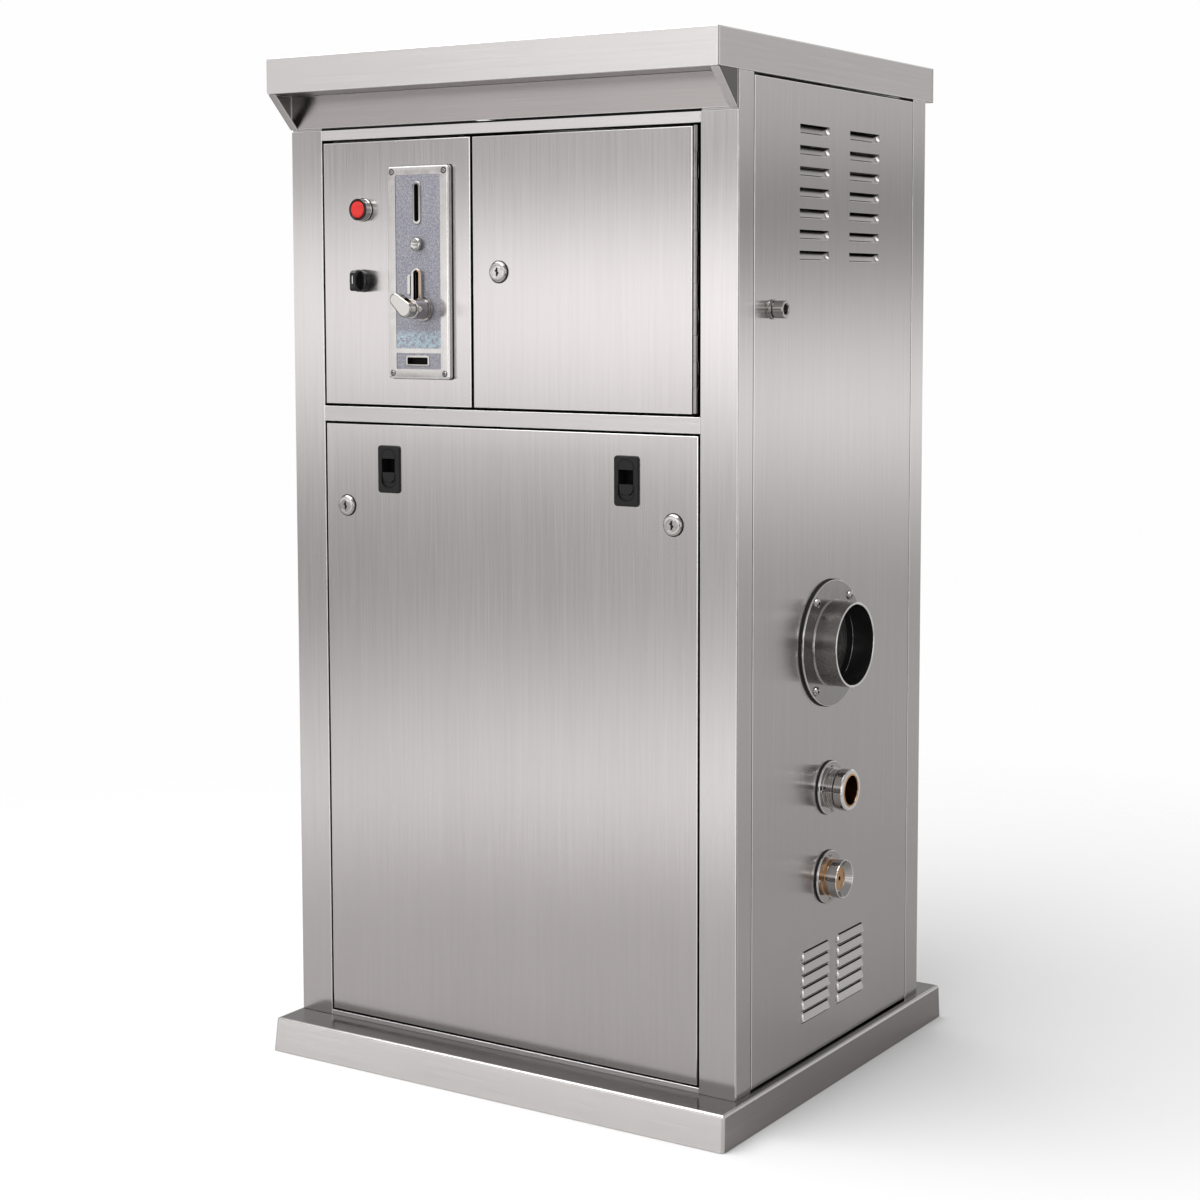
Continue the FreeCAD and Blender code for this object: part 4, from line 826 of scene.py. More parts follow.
def coin():
    iw = 36.25
    slot = rounded(qx - 4.5, qx + 2.5, 1124.5, 1173.0, 3.4)
    chute = rounded(qx - 4, qx + 4, 1022, 1062, 3.9, corners=(0, 1, 1, 0))
    ret = rounded(qx - 18, qx + 15, 940.2, 949.4, 1.2)
    lx = (nb("coin_lever")[1]) - 16.0
    lz = 1012.0
    # cast frame with a raised rim: outer plate with bevel, then recessed field
    bm = bmesh.new()
    outer = rounded(cpx0, cpx1, cpz0, cpz1, 3.5)
    up = rounded(qx - iw, qx + iw, 960.8, 1184.8, 2.5)
    dn = rounded(qx - iw, qx + iw, 934.0, 955.0, 2.0)
    # the walls of the openings here, in the inlay and in the slot rims are hole black: painted shade
    plate(bm, "xz", outer, [up, dn], qy, qy + 2.2, mat=0, bevel=2.2, edge=1, hole_mat=2)
    # a black outline just behind the plate's edge: painted contact shadow
    plate(bm, "xz", rounded(cpx0 - 0.9, cpx1 + 0.9, cpz0 - 0.9, cpz1 + 0.9, 4.2), [up], FY - 0.6, FY, mat=2, hole_mat=2)
    plate(bm, "xz", rounded(cpx0, cpx1, cpz0, cpz1, 3.5), [slot, chute, ret, circle(qx, 1095.5, 6.5), circle(lx, lz, 5.55)],
          qy + 1.6, FY, mat=0, hole_mat=2)
    finish_obj("coin_plate_cast", bm, ["cast", "edge", "hole"], cab, ["coin_plate"])
    bm = bmesh.new()
    plate(bm, "xz", rounded(qx - iw + 0.3, qx + iw - 0.3, 961.1, 1184.5, 2.3), [slot, chute, circle(qx, 1095.5, 6.5), circle(lx, lz, 5.55)],
          qy + 0.45, qy + 1.5, mat=0, hole_mat=1)
    plate(bm, "xz", rounded(qx - iw + 0.3, qx + iw - 0.3, 934.3, 954.7, 1.8), [ret], qy + 0.45, qy + 1.5, mat=0, hole_mat=1)
    finish_obj("coin_inlay_speckled", bm, ["inlay", "hole"], cab, ["coin_inlay"])
    # bright rims round the coin slot and the return slot
    bm = bmesh.new()
    plate(bm, "xz", rounded(qx - 7.6, qx + 5.6, 1120.6, 1176.9, 6.4), [slot], qy - 1.2, qy + 0.6, mat=0, bevel=1.0, edge=0, hole_mat=1)
    plate(bm, "xz", rounded(qx - 20.5, qx + 17.5, 937.7, 951.9, 2.4), [ret], qy - 0.6, qy + 0.6, mat=0, bevel=0.5, edge=0, hole_mat=1)
    finish_obj("slot_rims", bm, ["chrome", "hole"], cab, ())
    # screws
    bm = bmesh.new()
    for a, b in ((1, 1), (-1, 1), (-1, -1), (1, -1)):
        sx, sw = qx + (49.5 - 7.2) * a, qz + (137.5 - 7.2) * b
        lathe(bm, "y", sx, sw, [(qy - 0.9, 0, 1), (qy - 0.9, 1.0, 0), (qy - 1.2, 1.5, 0), (qy - 0.9, 2.7, 0), (qy - 0.1, 3.3, 0), (qy + 2, 3.3, 0),
                                (qy + 2, 0, 0)], seg=32, closed=False)
        # a black ring under each head: painted shadow; a black slot laid on the head: painted shade
        lathe(bm, "y", sx, sw, [(qy - 0.12, 3.2, 1), (qy - 0.12, 4.1, 1), (qy + 0.3, 4.1, 1), (qy + 0.3, 3.2, 1)], seg=32)
        add_box(bm, sx - 1.9, sx + 1.9, qy - 1.26, qy - 1.0, sw - 0.35, sw + 0.35, mat=1)
    finish_obj("coin_plate_screw_heads", bm, ["turned", "hole"], cab, ["coin_plate_screws"])
    # arched hood round the tall slot, brass inside on the right, bright cheek on the left
    bm = bmesh.new()
    arch = [(qx + 8.3, 1024)] + [(qx + 8.3 * math.cos(math.pi * k / 16), 1056.5 + 8.3 * math.sin(math.pi * k / 16)) for k in range(17)] + [(qx - 8.3, 1024)]
    inner = [(qx + 4.0, 1023)] + [(qx + 4.0 * math.cos(math.pi * k / 12), 1057.5 + 4.2 * math.sin(math.pi * k / 12)) for k in range(13)] + [(qx - 4.0, 1023)]
    ring = arch + list(reversed(inner))
    prism(bm, ring, "xz", qy - 5.0, qy + 0.4, mat=0, bevel=0.9, seg=3)
    brass = [(qx + 7.4, 1026), (qx + 7.4, 1056.5)] + [(qx + 7.4 * math.cos(math.pi * k / 16), 1056.5 + 7.4 * math.sin(math.pi * k / 16)) for k in range(1, 6)]
    brass_in = [(qx + 5.1 * math.cos(math.pi * k / 16), 1056.5 + 5.1 * math.sin(math.pi * k / 16)) for k in range(5, 0, -1)] + [(qx + 5.1, 1056.5), (qx + 5.1, 1026)]
    prism(bm, brass + brass_in, "xz", qy - 5.2, qy - 4.0, mat=1)
    prism(bm, rounded(qx - 15, qx - 9.6, 1030, 1056, 2.2), "xz", qy - 4.6, qy + 0.4, mat=0, bevel=1.1, seg=3)
    finish_obj("coin_chute_hood_cast", bm, ["chrome", "brass"], cab, ["coin_chute_hood"])
    # reject button
    bm = bmesh.new()
    lathe(bm, "y", qx, 1095.5, [(qy - 6.4, 0, 0), (qy - 6.5, 5.2, 0), (qy - 7.0, 6.2, 0), (qy - 6.9, 7.2, 0), (qy - 6.0, 8.3, 0), (qy - 5.2, 8.6, 0),
                                (qy - 3.2, 8.6, 0), (qy - 3.2, 6.2, 0), (FY + 6, 6.2, 0), (FY + 6, 0, 0)], closed=False)
    finish_obj("reject_button_turned", bm, ["chrome"], "reject_button", ["reject_button"])
    # lever: drum, flange, arm and rounded end
    bm = bmesh.new()
    # the groove round the drum takes dark_steel: painted shade
    lathe(bm, "y", lx, lz, [(qy - 28, 0, 0), (qy - 28, 11.6, 0), (qy - 27.2, 12.8, 0), (qy - 26, 13.0, 0), (qy - 6.2, 13.0, 0), (qy - 5.8, 12.4, 1), (qy - 5.0, 12.4, 1),
                            (qy - 4.6, 13.0, 0), (qy - 3.0, 13.2, 0), (qy - 2.9, 15.6, 0), (qy - 2.3, 16.0, 0), (qy - 0.5, 16.0, 0), (qy - 0.5, 5.5, 0),
                            (FY + 10, 5.5, 0), (FY + 10, 0, 0)], closed=False)
    ex, ez = lx - 15, lz + 12
    d = Vector((ex - lx, ez - lz)).normalized()
    w0 = math.atan2(d.y, d.x)
    arm = []
    for k in range(13):
        a = w0 - math.pi / 2 + math.pi * k / 12
        arm.append((ex + 8.4 * math.cos(a), ez + 8.4 * math.sin(a)))
    for k in range(13):
        a = w0 + math.pi / 2 + math.pi * k / 12
        arm.append((lx + 10.8 * math.cos(a), lz + 10.8 * math.sin(a)))
    prism(bm, arm, "xz", qy - 41.8, qy - 27.6, mat=0, bevel=2.4, seg=5)
    finish_obj("coin_lever_cast", bm, ["chrome", "dark_steel"], "coin_lever", ["coin_lever"], angle=40)

coin()

def locks():
    def housing(bm, x, z):
        # the housing's outer rim is drawn black: painted contact shadow
        lathe(bm, "y", x, z, [(FY - 0.02, 14.5, 1), (FY - 0.8, 14.5, 1), (FY - 1.0, 14.2, 1), (FY - 1.1, 13.5, 0), (FY - 1.6, 13.5, 0), (FY - 2.8, 13.3, 0), (FY - 3.9, 12.5, 0), (FY - 4.7, 11.5, 0), (FY - 5.0, 10.2, 0),
                              (FY - 5.0, 7.7, 0), (FY - 4.85, 7.55, 0), (FY + 28, 7.55, 0), (FY + 28, 9.6, 0), (FY + 8, 9.6, 0),
                              (FY + 8, 13, 0), (FY + 2.1, 13, 0), (FY + 2.1, 9.6, 0), (FY - 0.02, 9.6, 0)])
    def plug(bm, x, z):
        lathe(bm, "y", x, z, [(FY - 4.95, 0, 0), (FY - 4.95, 7.3, 0), (FY - 4.8, 7.5, 0), (FY - 3.2, 7.5, 0), (FY + 33, 7.5, 0), (FY + 33, 0, 0)], seg=48, closed=False)
        key = [(x - 1.2, z - 5.4), (x + 1.3, z - 5.4), (x + 1.3, z - 3.2), (x + 2.9, z - 2.3), (x + 2.9, z - 0.4), (x + 1.3, z + 0.3), (x + 1.3, z + 5.4),
               (x - 1.2, z + 5.4), (x - 1.2, z + 3.3), (x - 2.9, z + 2.5), (x - 2.9, z + 0.6), (x - 1.2, z + 0.1)]
        # the key slot is a black shape laid on the plug's face: painted shade
        prism(bm, key, "xz", FY - 5.0, FY - 3.0, mat=1)
    for name, body, node, spots in (("door_lock_housing_turned", "upper_door", "door_lock_housing", [(dlx, dlz)]),
                                    ("service_lock_housings_turned", "service_panel", "service_lock_housings", [(plx, plz), (-plx, plz)])):
        bm = bmesh.new()
        for x, z in spots:
            housing(bm, x, z)
        finish_obj(name, bm, ["lockface", "hole"], body, [node])
    for name, body, node, x, z in (("door_lock_plug_turned", "door_lock", "door_lock_plug", dlx, dlz),
                                   ("service_lock_plug_left_turned", "service_lock_left", "service_lock_plug_left", -plx, plz),
                                   ("service_lock_plug_right_turned", "service_lock_right", "service_lock_plug_right", plx, plz)):
        bm = bmesh.new()
        plug(bm, x, z)
        finish_obj(name, bm, ["lockface", "hole"], body, [node])

locks()

def pull_cups():
    bm = bmesh.new()
    for s, x in pulls.items():
        outer = rounded(x - 18, x + 18, puz - 31.5, puz + 31.5, 4.5)
        arcw = [(x + 11 * math.cos(math.pi * (1 + k / 18)), puz - 15 + 9 * math.sin(math.pi * (1 + k / 18))) for k in range(19)]
        well = arcw + [(x + 11, puz + 14), (x - 11, puz + 14)]
        prism(bm, [(p[0], min(p[1], puz - 17.3)) for p in arcw if p[1] < puz - 16.2], "xz", FY - 1.2, FY + 3, mat=0)
        rim = [(x + 12.4 * math.cos(math.pi * (1 + k / 18)), puz - 15 + 10.4 * math.sin(math.pi * (1 + k / 18))) for k in range(19)]
        # a black ring round the lower slider's outline: painted shadow in the gap
        prism(bm, [(x - 12.4, puz - 5)] + rim + [(x + 12.4, puz - 5), (x + 11, puz - 5)] + list(reversed(arcw)) + [(x - 11, puz - 5)], "xz", FY - 3.08, FY - 2.4, mat=1)
        plate(bm, "xz", outer, [well], FY - 3, FY, mat=0, bevel=1.6, edge=0, hole_mat=0)
        for k in (-1, 1):
            xa, xb = sorted((x + 6.9 * k, x + 10.9 * k))
            add_box(bm, xa, xb, FY - 1.1, FY + 3, puz - 17.2, puz - 9.0, mat=0)
        tub = [(x - 13.8, puz - 26.8), (x + 13.8, puz - 26.8), (x + 13.8, puz + 26.8), (x - 13.8, puz + 26.8)]
        # the well's walls and back are black: painted shade
        plate(bm, "xz", tub, [well], FY - 0.2, FY + 16, mat=0, hole_mat=1)
        add_box(bm, x - 13.8, x + 13.8, FY + 16, FY + 18, puz - 26.8, puz + 26.8, mat=1)
        # the fixed upper thumb rest inside the oval outline: a fine groove drawn as a thin black ring, painted shadow,
        # and a slightly sunken pad
        arc = [(x + 12.2 * math.cos(math.pi * k / 18), puz + 17 + 10.6 * math.sin(math.pi * k / 18)) for k in range(19)]
        outl = [(x + 12.2, puz + 14.2)] + arc + [(x - 12.2, puz + 14.2)]
        arc2 = [(x + 10.8 * math.cos(math.pi * k / 18), puz + 17 + 9.2 * math.sin(math.pi * k / 18)) for k in range(19)]
        inl = [(x + 10.8, puz + 14.2)] + arc2 + [(x - 10.8, puz + 14.2)]
        prism(bm, outl + list(reversed(inl)), "xz", FY - 3.12, FY - 2.4, mat=1)
        prism(bm, inl, "xz", FY - 3.3, FY - 2.6, mat=0, bevel=0.3)
    finish_obj("pull_housings_moulded", bm, ["black", "hole"], "service_panel", ["pull_housings"])
    for s, x in pulls.items():
        bm = bmesh.new()
        x0, x1, y0, y1, z0, z1 = nb("pull_slider_" + s)
        low = [(x + 10.2 * math.cos(math.pi * (1 + k / 14.0)), z0 + 8.6 + 8.6 * math.sin(math.pi * (1 + k / 14.0))) for k in range(15)]
        pts = low + [(x + 10.2, z1), (x - 10.2, z1)]
        prism(bm, pts, "xz", FY - 2.7, FY - 1.3, mat=0, bevel=0.4, seg=2)
        add_box(bm, x - 6.4, x + 6.4, FY - 1.4, y1, z1 - 6.6, z1, bevel=0.4)
        finish_obj("pull_slider_%s_moulded" % s, bm, ["black"], "pull_slider_" + s, ["pull_slider_" + s])

pull_cups()

def connections():
    x0, x1, y0, y1, z0, z1 = nb("hose_spigot")
    sy, szz = (y0 + y1) / 2, (z0 + z1) / 2
    bm = bmesh.new()
    # rims take edge (painted highlight), the tube takes pipe, a darker steel (painted shade), and the bore takes
    # near-black bore (painted shade)
    lathe(bm, "x", sy, szz, [(W2 + 3, 55.4, 0), (W2 + 3, 81.7, 0), (W2 + 3.4, 82.0, 1), (W2 + 5.1, 82.0, 1), (W2 + 5.5, 81.4, 0), (W2 + 5.5, 57.0, 0), (W2 + 6.4, 55.7, 0),
                             (W2 + 7.4, 55.0, 2), (x1 - 0.5, 55.0, 1), (x1, 54.5, 1), (x1, 52.6, 1), (x1 - 0.6, 52.0, 3), (W2 + 8, 52.0, 0), (W2 + 7.4, 51.6, 3), (W2 - 0.2, 50.4, 3), (W2 - 1, 50, 3),
                             (x0, 50.0, 3), (x0, 55.0, 0), (W2 + 3, 55.0, 0)], seg=128)
    finish_obj("hose_spigot_turned", bm, ["turned", "edge", "pipe", "bore"], cab, ["hose_spigot"])
    wy, wz = [(nb("water_coupling")[a] + nb("water_coupling")[a + 1]) / 2 for a in (2, 4)]
    fx = W2 + 2
    bm = bmesh.new()
    # rims take edge (painted highlight); the groove takes dark_steel (painted shade)
    lathe(bm, "x", wy, wz, [(fx, 24.2, 0), (fx, 34.6, 0), (fx + 0.5, 35, 1), (fx + 2.5, 35, 1), (fx + 3, 34.4, 0), (fx + 3, 27.0, 0), (fx + 3.4, 26.4, 0), (fx + 6.6, 26.4, 0),
                            (fx + 7, 25.6, 0), (fx + 9.0, 25.6, 0), (fx + 9.4, 25.0, 0), (fx + 10.2, 25.0, 0), (fx + 10.6, 25.6, 0), (fx + 12.6, 25.6, 0), (fx + 13, 25.0, 0),
                            (fx + 13.8, 25.0, 0), (fx + 14.2, 25.6, 0), (fx + 15.6, 25.6, 0), (fx + 16.4, 24.0, 2), (fx + 17.6, 24.0, 2), (fx + 18.2, 27.0, 0), (fx + 18.8, 27.5, 0),
                            (fx + 28.6, 27.5, 0), (fx + 29.6, 27.0, 1), (fx + 31, 25.4, 1), (fx + 31, 21.6, 1), (fx + 30.6, 21.0, 0), (W2 - 22, 21.0, 0), (W2 - 22, 24.0, 0), (fx, 24.0, 0)], seg=96)
    finish_obj("water_coupling_turned", bm, ["chrome", "edge", "dark_steel"], cab, ["water_coupling"])
    bm = bmesh.new()
    # the bore takes brassdark: painted shade
    lathe(bm, "x", wy, wz, [(W2 - 20, 18.5, 1), (fx + 30.2, 18.5, 0), (fx + 31.5, 19.3, 0), (fx + 31.5, 20.4, 0), (fx + 31.2, 20.97, 0), (W2 - 20, 20.97, 0)], seg=96)
    finish_obj("water_bush_turned", bm, ["brass", "brassdark"], cab, ["water_bush"])
    dy, dz = [(nb("drain_coupling")[a] + nb("drain_coupling")[a + 1]) / 2 for a in (2, 4)]
    bm = bmesh.new()
    # rims take edge (painted highlight); the inner end and bore are hole black (painted shade)
    lathe(bm, "x", dy, dz, [(fx, 22.3, 0), (fx, 34.1, 0), (fx + 0.5, 34.5, 1), (fx + 2.5, 34.5, 1), (fx + 3, 34.0, 0), (fx + 3, 24.6, 0), (fx + 3.4, 24.0, 3), (fx + 6.8, 24.0, 3), (fx + 7.0, 22.0, 0),
                            (fx + 10.6, 22.0, 0), (fx + 11.4, 24.8, 0), (fx + 12.0, 25.3, 0), (fx + 23.2, 25.3, 1), (fx + 24, 24.8, 1), (fx + 24, 24.0, 1), (fx + 23.6, 23.6, 0), (fx + 16.2, 17.0, 0),
                            (fx + 15.8, 15.6, 0), (W2 - 16, 15.6, 2), (W2 - 16, 5.0, 2), (W2 - 22, 5.0, 0), (W2 - 22, 22.0, 0), (fx, 22.0, 0)], seg=96)
    finish_obj("drain_coupling_turned", bm, ["chrome", "edge", "hole", "brass"], cab, ["drain_coupling"])
    bm = bmesh.new()
    # the centre is hole black: painted shade
    lathe(bm, "x", dy, dz, [(fx + 9, 0, 1), (fx + 9, 2.4, 1), (fx + 16.2, 2.4, 1), (fx + 16.5, 2.9, 0), (fx + 16.5, 14.6, 0), (fx + 16.1, 15.2, 0), (fx + 13.0, 15.2, 0), (fx + 13.0, 4.6, 0),
                            (W2 - 20, 4.6, 0), (W2 - 20, 0, 0)], seg=72, closed=False)
    finish_obj("valve_poppet_turned", bm, ["brass", "hole"], "valve_poppet", ["valve_poppet"])
    bm = bmesh.new()
    lathe(bm, "x", sy, szz, [(W2 + 0.05, 55.6, 0), (W2 + 0.05, 82.6, 0), (W2 + 0.4, 83.0, 0), (W2 + 2.5, 83.0, 0), (W2 + 2.9, 82.4, 0), (W2 + 2.9, 55.6, 0)], seg=128)
    lathe(bm, "x", wy, wz, [(W2 + 0.05, 24.6, 0), (W2 + 0.05, 35.5, 0), (W2 + 1.9, 35.5, 0), (W2 + 1.9, 24.6, 0)], seg=72)
    lathe(bm, "x", dy, dz, [(W2 + 0.05, 22.6, 0), (W2 + 0.05, 35.0, 0), (W2 + 1.9, 35.0, 0), (W2 + 1.9, 22.6, 0)], seg=72)
    finish_obj("flange_gaskets_rubber", bm, ["rubber"], cab, ["flange_gaskets"])
    bm = bmesh.new()
    # the screws' sockets are hole-black discs: painted shade
    for a, b in ((57.0, 46.0), (57.0, -46.0), (-57.0, -46.0), (-57.0, 46.0)):
        lathe(bm, "x", sy + b, szz + a, [(W2 + 7.6, 0, 1), (W2 + 7.6, 1.9, 1), (W2 + 9.0, 2.0, 0), (W2 + 8.8, 3.8, 0), (W2 + 7.9, 5.5, 0), (W2 + 6.4, 6.2, 0), (W2 + 5.5, 6.2, 0),
                                         (W2 + 5.5, 2.5, 0), (W2 - 8, 2.5, 0), (W2 - 8, 0, 0)], seg=36, closed=False)
    for cy, cz in ((wy, wz), (dy, dz)):
        for a, b in ((29.5, 0), (0, -29.5), (-29.5, 0), (0, 29.5)):
            lathe(bm, "x", cy + b, cz + a, [(fx + 3.8, 0, 1), (fx + 3.8, 0.8, 1), (fx + 4.4, 0.9, 0), (fx + 4.2, 1.7, 0), (fx + 3.6, 2.3, 0), (fx + 3.0, 2.4, 0), (fx + 3.0, 1.5, 0),
                                            (W2 - 6, 1.5, 0), (W2 - 6, 0, 0)], seg=28, closed=False)
    finish_obj("flange_screws_domed", bm, ["chrome", "hole"], cab, ["flange_screws"])
    ly, lz = [(nb("side_lock_plug")[a] + nb("side_lock_plug")[a + 1]) / 2 for a in (2, 4)]
    bm = bmesh.new()
    # the groove and bore take dark_steel: painted shade
    lathe(bm, "x", ly, lz, [(W2 + 0.02, 8.4, 0), (W2 + 0.02, 11.9, 0), (W2 + 0.5, 12.2, 0), (W2 + 2.8, 12.2, 0), (W2 + 3.2, 11.8, 0), (W2 + 3.3, 10.4, 1), (W2 + 5.2, 10.0, 1), (W2 + 5.4, 10.8, 0), (W2 + 17.6, 11.0, 0),
                            (W2 + 18.6, 10.0, 0), (W2 + 18.6, 7.6, 0), (W2 + 17.6, 6.05, 1), (W2 - 12, 6.05, 1), (W2 - 12, 8.4, 0)], seg=64)
    finish_obj("side_lock_body_turned", bm, ["chrome", "dark_steel"], cab, ["side_lock_body"])
    bm = bmesh.new()
    lathe(bm, "x", ly, lz, [(W2 + 14.5, 0, 0), (W2 + 14.5, 5.4, 0), (W2 + 14.0, 6.0, 0), (W2 - 18, 6.0, 0), (W2 - 18, 0, 0)], seg=48, closed=False)
    # the key slot is a black box on the plug's face: painted shade
    add_box(bm, W2 + 14.0, W2 + 14.6, ly - 1.0, ly + 1.0, lz - 3.6, lz + 3.6, mat=1)
    finish_obj("side_lock_plug_turned", bm, ["turned", "hole"], "side_lock", ["side_lock_plug"])

connections()

# ------------------------------------------------- inner parts keep their shape
INNER = {"coin_mech_housing": "grey", "cash_box": "galv", "coin_drop_chute": "grey", "hinge_pin": "turned", "door_lock_cam": "galv",
         "service_lock_cam_left": "galv", "service_lock_cam_right": "galv", "mounting_shelf": "galv", "suction_motor": "paint",
         "suction_duct": "black", "water_valve": "brass", "water_pipe": "grey", "control_box": "grey"}
for node, mat in INNER.items():
    me = NODES[node].data
    me.materials.clear()
    me.materials.append(M[mat])

# ------------------------------------------------------------ floor and light
def stage():
    bm = bmesh.new()
    bmesh.ops.create_circle(bm, cap_ends=True, radius=2.6, segments=128)
    me = bpy.data.meshes.new("floor")
    bm.to_mesh(me)
    bm.free()
    m, nt, b = new_mat("floor_pale")
    b.inputs["Base Color"].default_value = (0.83, 0.83, 0.835, 1)
    b.inputs["Roughness"].default_value = 0.9
    b.inputs["Specular IOR Level"].default_value = 0.0
    # painted contact shadow: the floor's colour darkens with ambient occlusion near the cabinet
    ao = nt.nodes.new("ShaderNodeAmbientOcclusion")
    ao.inputs["Distance"].default_value = 0.16
    ao.samples = 8
    nt.links.new(ramp(nt, ao.outputs["AO"], [(0.35, 0.60), (0.75, 0.80), (1.0, 0.83)]), b.inputs["Base Color"])
    # what the polished sheet sees of the floor is a mid grey studio floor
    b2 = nt.nodes.new("ShaderNodeBsdfDiffuse")
    b2.inputs["Color"].default_value = (0.46, 0.455, 0.45, 1)
    lp = nt.nodes.new("ShaderNodeLightPath")
    mx = nt.nodes.new("ShaderNodeMixShader")
    nt.links.new(lp.outputs["Is Camera Ray"], mx.inputs[0])
    nt.links.new(b2.outputs[0], mx.inputs[1])
    nt.links.new(b.outputs[0], mx.inputs[2])
    # the floor fades out in a circle
    tc = nt.nodes.new("ShaderNodeTexCoord")
    ln = nt.nodes.new("ShaderNodeVectorMath")
    ln.operation = "LENGTH"
    nt.links.new(tc.outputs["Object"], ln.inputs[0])
    mr = nt.nodes.new("ShaderNodeMapRange")
    mr.interpolation_type = "SMOOTHSTEP"
    mr.inputs["From Min"].default_value = 0.85
    mr.inputs["From Max"].default_value = 2.2
    nt.links.new(ln.outputs["Value"], mr.inputs["Value"])
    tr = nt.nodes.new("ShaderNodeBsdfTransparent")
    mt = nt.nodes.new("ShaderNodeMixShader")
    nt.links.new(mr.outputs[0], mt.inputs[0])
    nt.links.new(mx.outputs[0], mt.inputs[1])
    nt.links.new(tr.outputs[0], mt.inputs[2])
    out = [n for n in nt.nodes if n.type == "OUTPUT_MATERIAL"][0]
    nt.links.new(mt.outputs[0], out.inputs[0])
    me.materials.append(m)
    o = bpy.data.objects.new("floor", me)
    o.location = (0, 0, -0.0005)
    bpy.context.collection.objects.link(o)

    w = bpy.data.worlds.new("world")
    bpy.context.scene.world = w
    w.use_nodes = True
    nt = w.node_tree
    for n in list(nt.nodes):
        nt.nodes.remove(n)
    out = nt.nodes.new("ShaderNodeOutputWorld")
    bg = nt.nodes.new("ShaderNodeBackground")
    bgc = nt.nodes.new("ShaderNodeBackground")
    mix = nt.nodes.new("ShaderNodeMixShader")
    lp = nt.nodes.new("ShaderNodeLightPath")
    tc = nt.nodes.new("ShaderNodeTexCoord")
    sep = nt.nodes.new("ShaderNodeSeparateXYZ")
    nt.links.new(tc.outputs["Generated"], sep.inputs[0])
    def rng(val, a, b_, c=0.0, d=1.0, kind="LINEAR"):
        n = nt.nodes.new("ShaderNodeMapRange")
        n.interpolation_type = kind
        n.inputs["From Min"].default_value = a
        n.inputs["From Max"].default_value = b_
        n.inputs["To Min"].default_value = c
        n.inputs["To Max"].default_value = d
        nt.links.new(val, n.inputs["Value"])
        return n.outputs[0]
    el = rng(sep.outputs["Z"], -0.5, 0.5)
    front = ramp(nt, el, FRONT_RAMP)
    side = ramp(nt, el, SIDE_RAMP)
    dt = nt.nodes.new("ShaderNodeVectorMath")
    dt.operation = "DOT_PRODUCT"
    dt.inputs[1].default_value = (0.58, 0.81, 0)
    nt.links.new(tc.outputs["Generated"], dt.inputs[0])
    az = rng(dt.outputs["Value"], -0.3, 0.3, kind="SMOOTHSTEP")
    gx = nt.nodes.new("ShaderNodeMix")
    gx.data_type = "RGBA"
    gx.blend_type = "MULTIPLY"
    gx.inputs["Factor"].default_value = 1.0
    nt.links.new(front, gx.inputs["A"])
    g = rng(sep.outputs["X"], -0.85, -0.25, 0.58, 1.34)
    cmb = nt.nodes.new("ShaderNodeCombineXYZ")
    for k in range(3):
        nt.links.new(g, cmb.inputs[k])
    nt.links.new(cmb.outputs[0], gx.inputs["B"])
    mxa = nt.nodes.new("ShaderNodeMix")
    mxa.data_type = "RGBA"
    nt.links.new(az, mxa.inputs["Factor"])
    nt.links.new(gx.outputs["Result"], mxa.inputs["A"])
    nt.links.new(side, mxa.inputs["B"])
    # two dark flags either side give the plated parts their contrast
    last = mxa.outputs["Result"]
    for vec, lo, hi in (((0.33, -0.944, 0), 0.94, 0.975), ((-0.97, 0.24, 0), 0.90, 0.96)):
        dd = nt.nodes.new("ShaderNodeVectorMath")
        dd.operation = "DOT_PRODUCT"
        dd.inputs[1].default_value = vec
        nt.links.new(tc.outputs["Generated"], dd.inputs[0])
        fl = rng(dd.outputs["Value"], lo, hi, 1.0, 0.06, kind="SMOOTHSTEP")
        cb = nt.nodes.new("ShaderNodeCombineXYZ")
        for k in range(3):
            nt.links.new(fl, cb.inputs[k])
        mm_ = nt.nodes.new("ShaderNodeMix")
        mm_.data_type = "RGBA"
        mm_.blend_type = "MULTIPLY"
        mm_.inputs["Factor"].default_value = 1.0
        nt.links.new(last, mm_.inputs["A"])
        nt.links.new(cb.outputs[0], mm_.inputs["B"])
        last = mm_.outputs["Result"]
    nt.links.new(last, bg.inputs["Color"])
    bg.inputs["Strength"].default_value = 1.0
    bgc.inputs["Color"].default_value = (1, 1, 1, 1)
    bgc.inputs["Strength"].default_value = 0.99
    nt.links.new(lp.outputs["Is Camera Ray"], mix.inputs[0])
    nt.links.new(bg.outputs[0], mix.inputs[1])
    nt.links.new(bgc.outputs[0], mix.inputs[2])
    nt.links.new(mix.outputs[0], out.inputs[0])

    def area(name, loc, aim, size, power, size_y=None):
        l = bpy.data.lights.new(name, "AREA")
        l.shape = "RECTANGLE"
        l.size = size
        l.size_y = size_y or size
        l.energy = power
        o = bpy.data.objects.new(name, l)
        o.location = loc
        o.rotation_euler = (Vector(aim) - Vector(loc)).to_track_quat("-Z", "Y").to_euler()
        bpy.context.collection.objects.link(o)
        return o
    area("top_soft", (-0.6, -1.0, 4.2), (0, 0, 0.3), 4.0, 210)

def srt(*pairs):
    """Elevation in degrees and radiance to ramp stops over sines from -0.5 to 0.5."""
    return [(math.sin(math.radians(e)) + 0.5, v) for e, v in pairs]

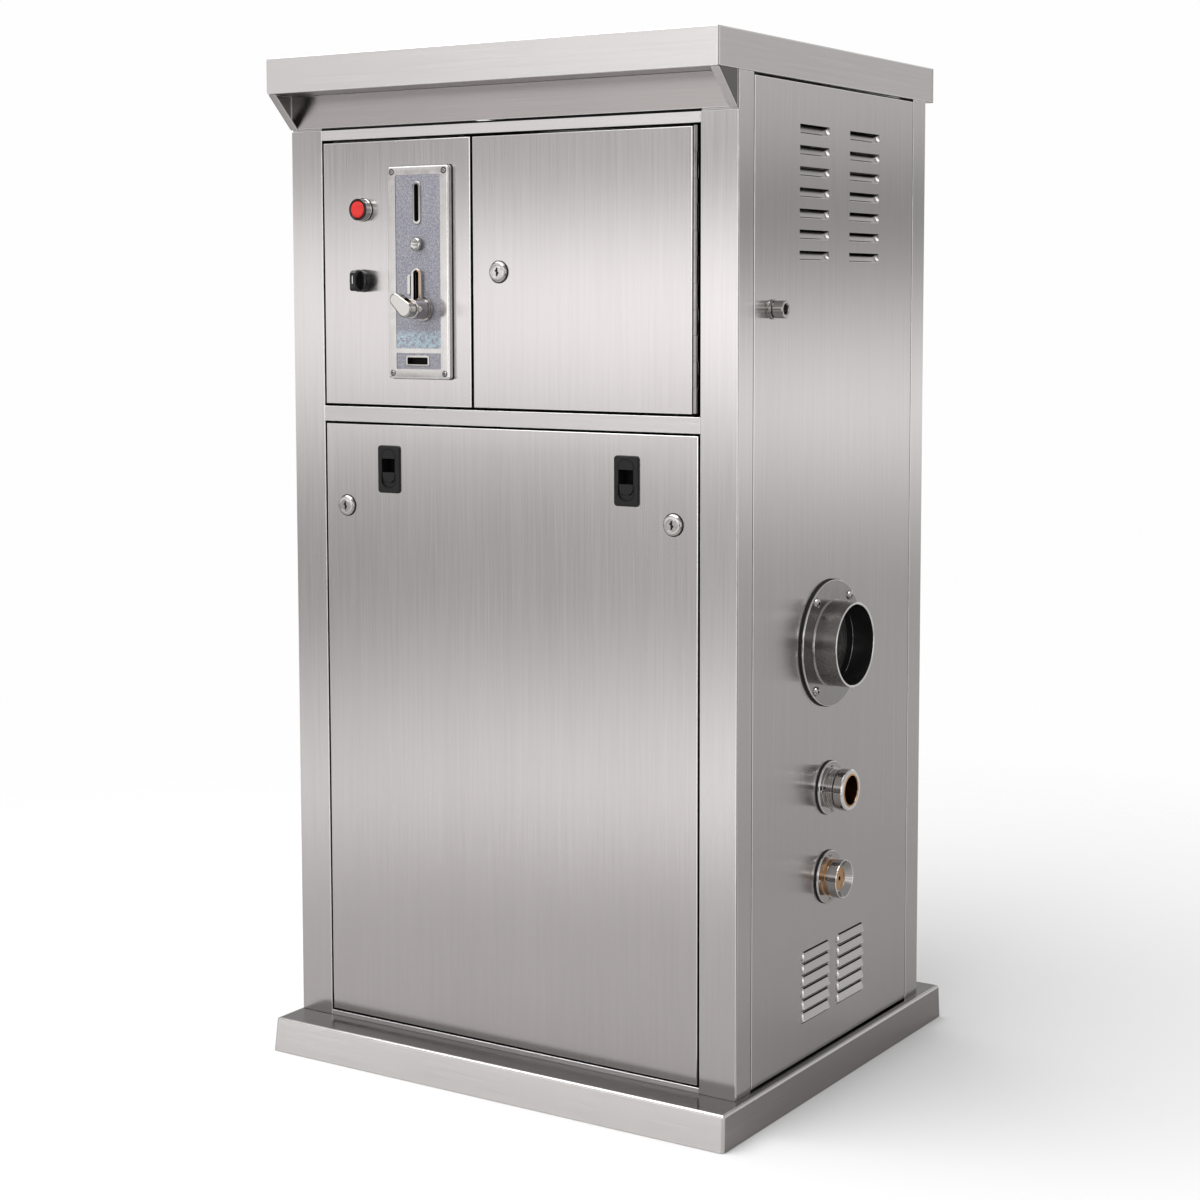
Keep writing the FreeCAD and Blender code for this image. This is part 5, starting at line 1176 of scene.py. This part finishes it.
FRONT_RAMP = srt((-30, 0.4), (-18, 0.48), (-14.5, 1.25), (-11, 1.15), (-7.5, 0.52), (-4.8, 0.60), (-3.2, 1.1), (-1.2, 1.62), (1.0, 1.75), (2.4, 0.95),
                 (3.8, 0.36), (5, 0.6), (8, 1.5), (15, 1.45), (24, 0.7), (30, 0.5))
SIDE_RAMP = srt((-30, 0.15), (-18, 0.20), (-15.5, 0.26), (-13.5, 0.50), (-10, 0.55), (-7, 0.50), (-5.5, 0.68), (-2.7, 1.2), (-1.2, 1.0), (1, 0.5),
                (2.5, 0.32), (4.5, 0.68), (8, 0.75), (15, 0.8), (24, 0.5), (30, 0.4))
stage()
sc = bpy.context.scene
sc.view_settings.view_transform = "Standard"
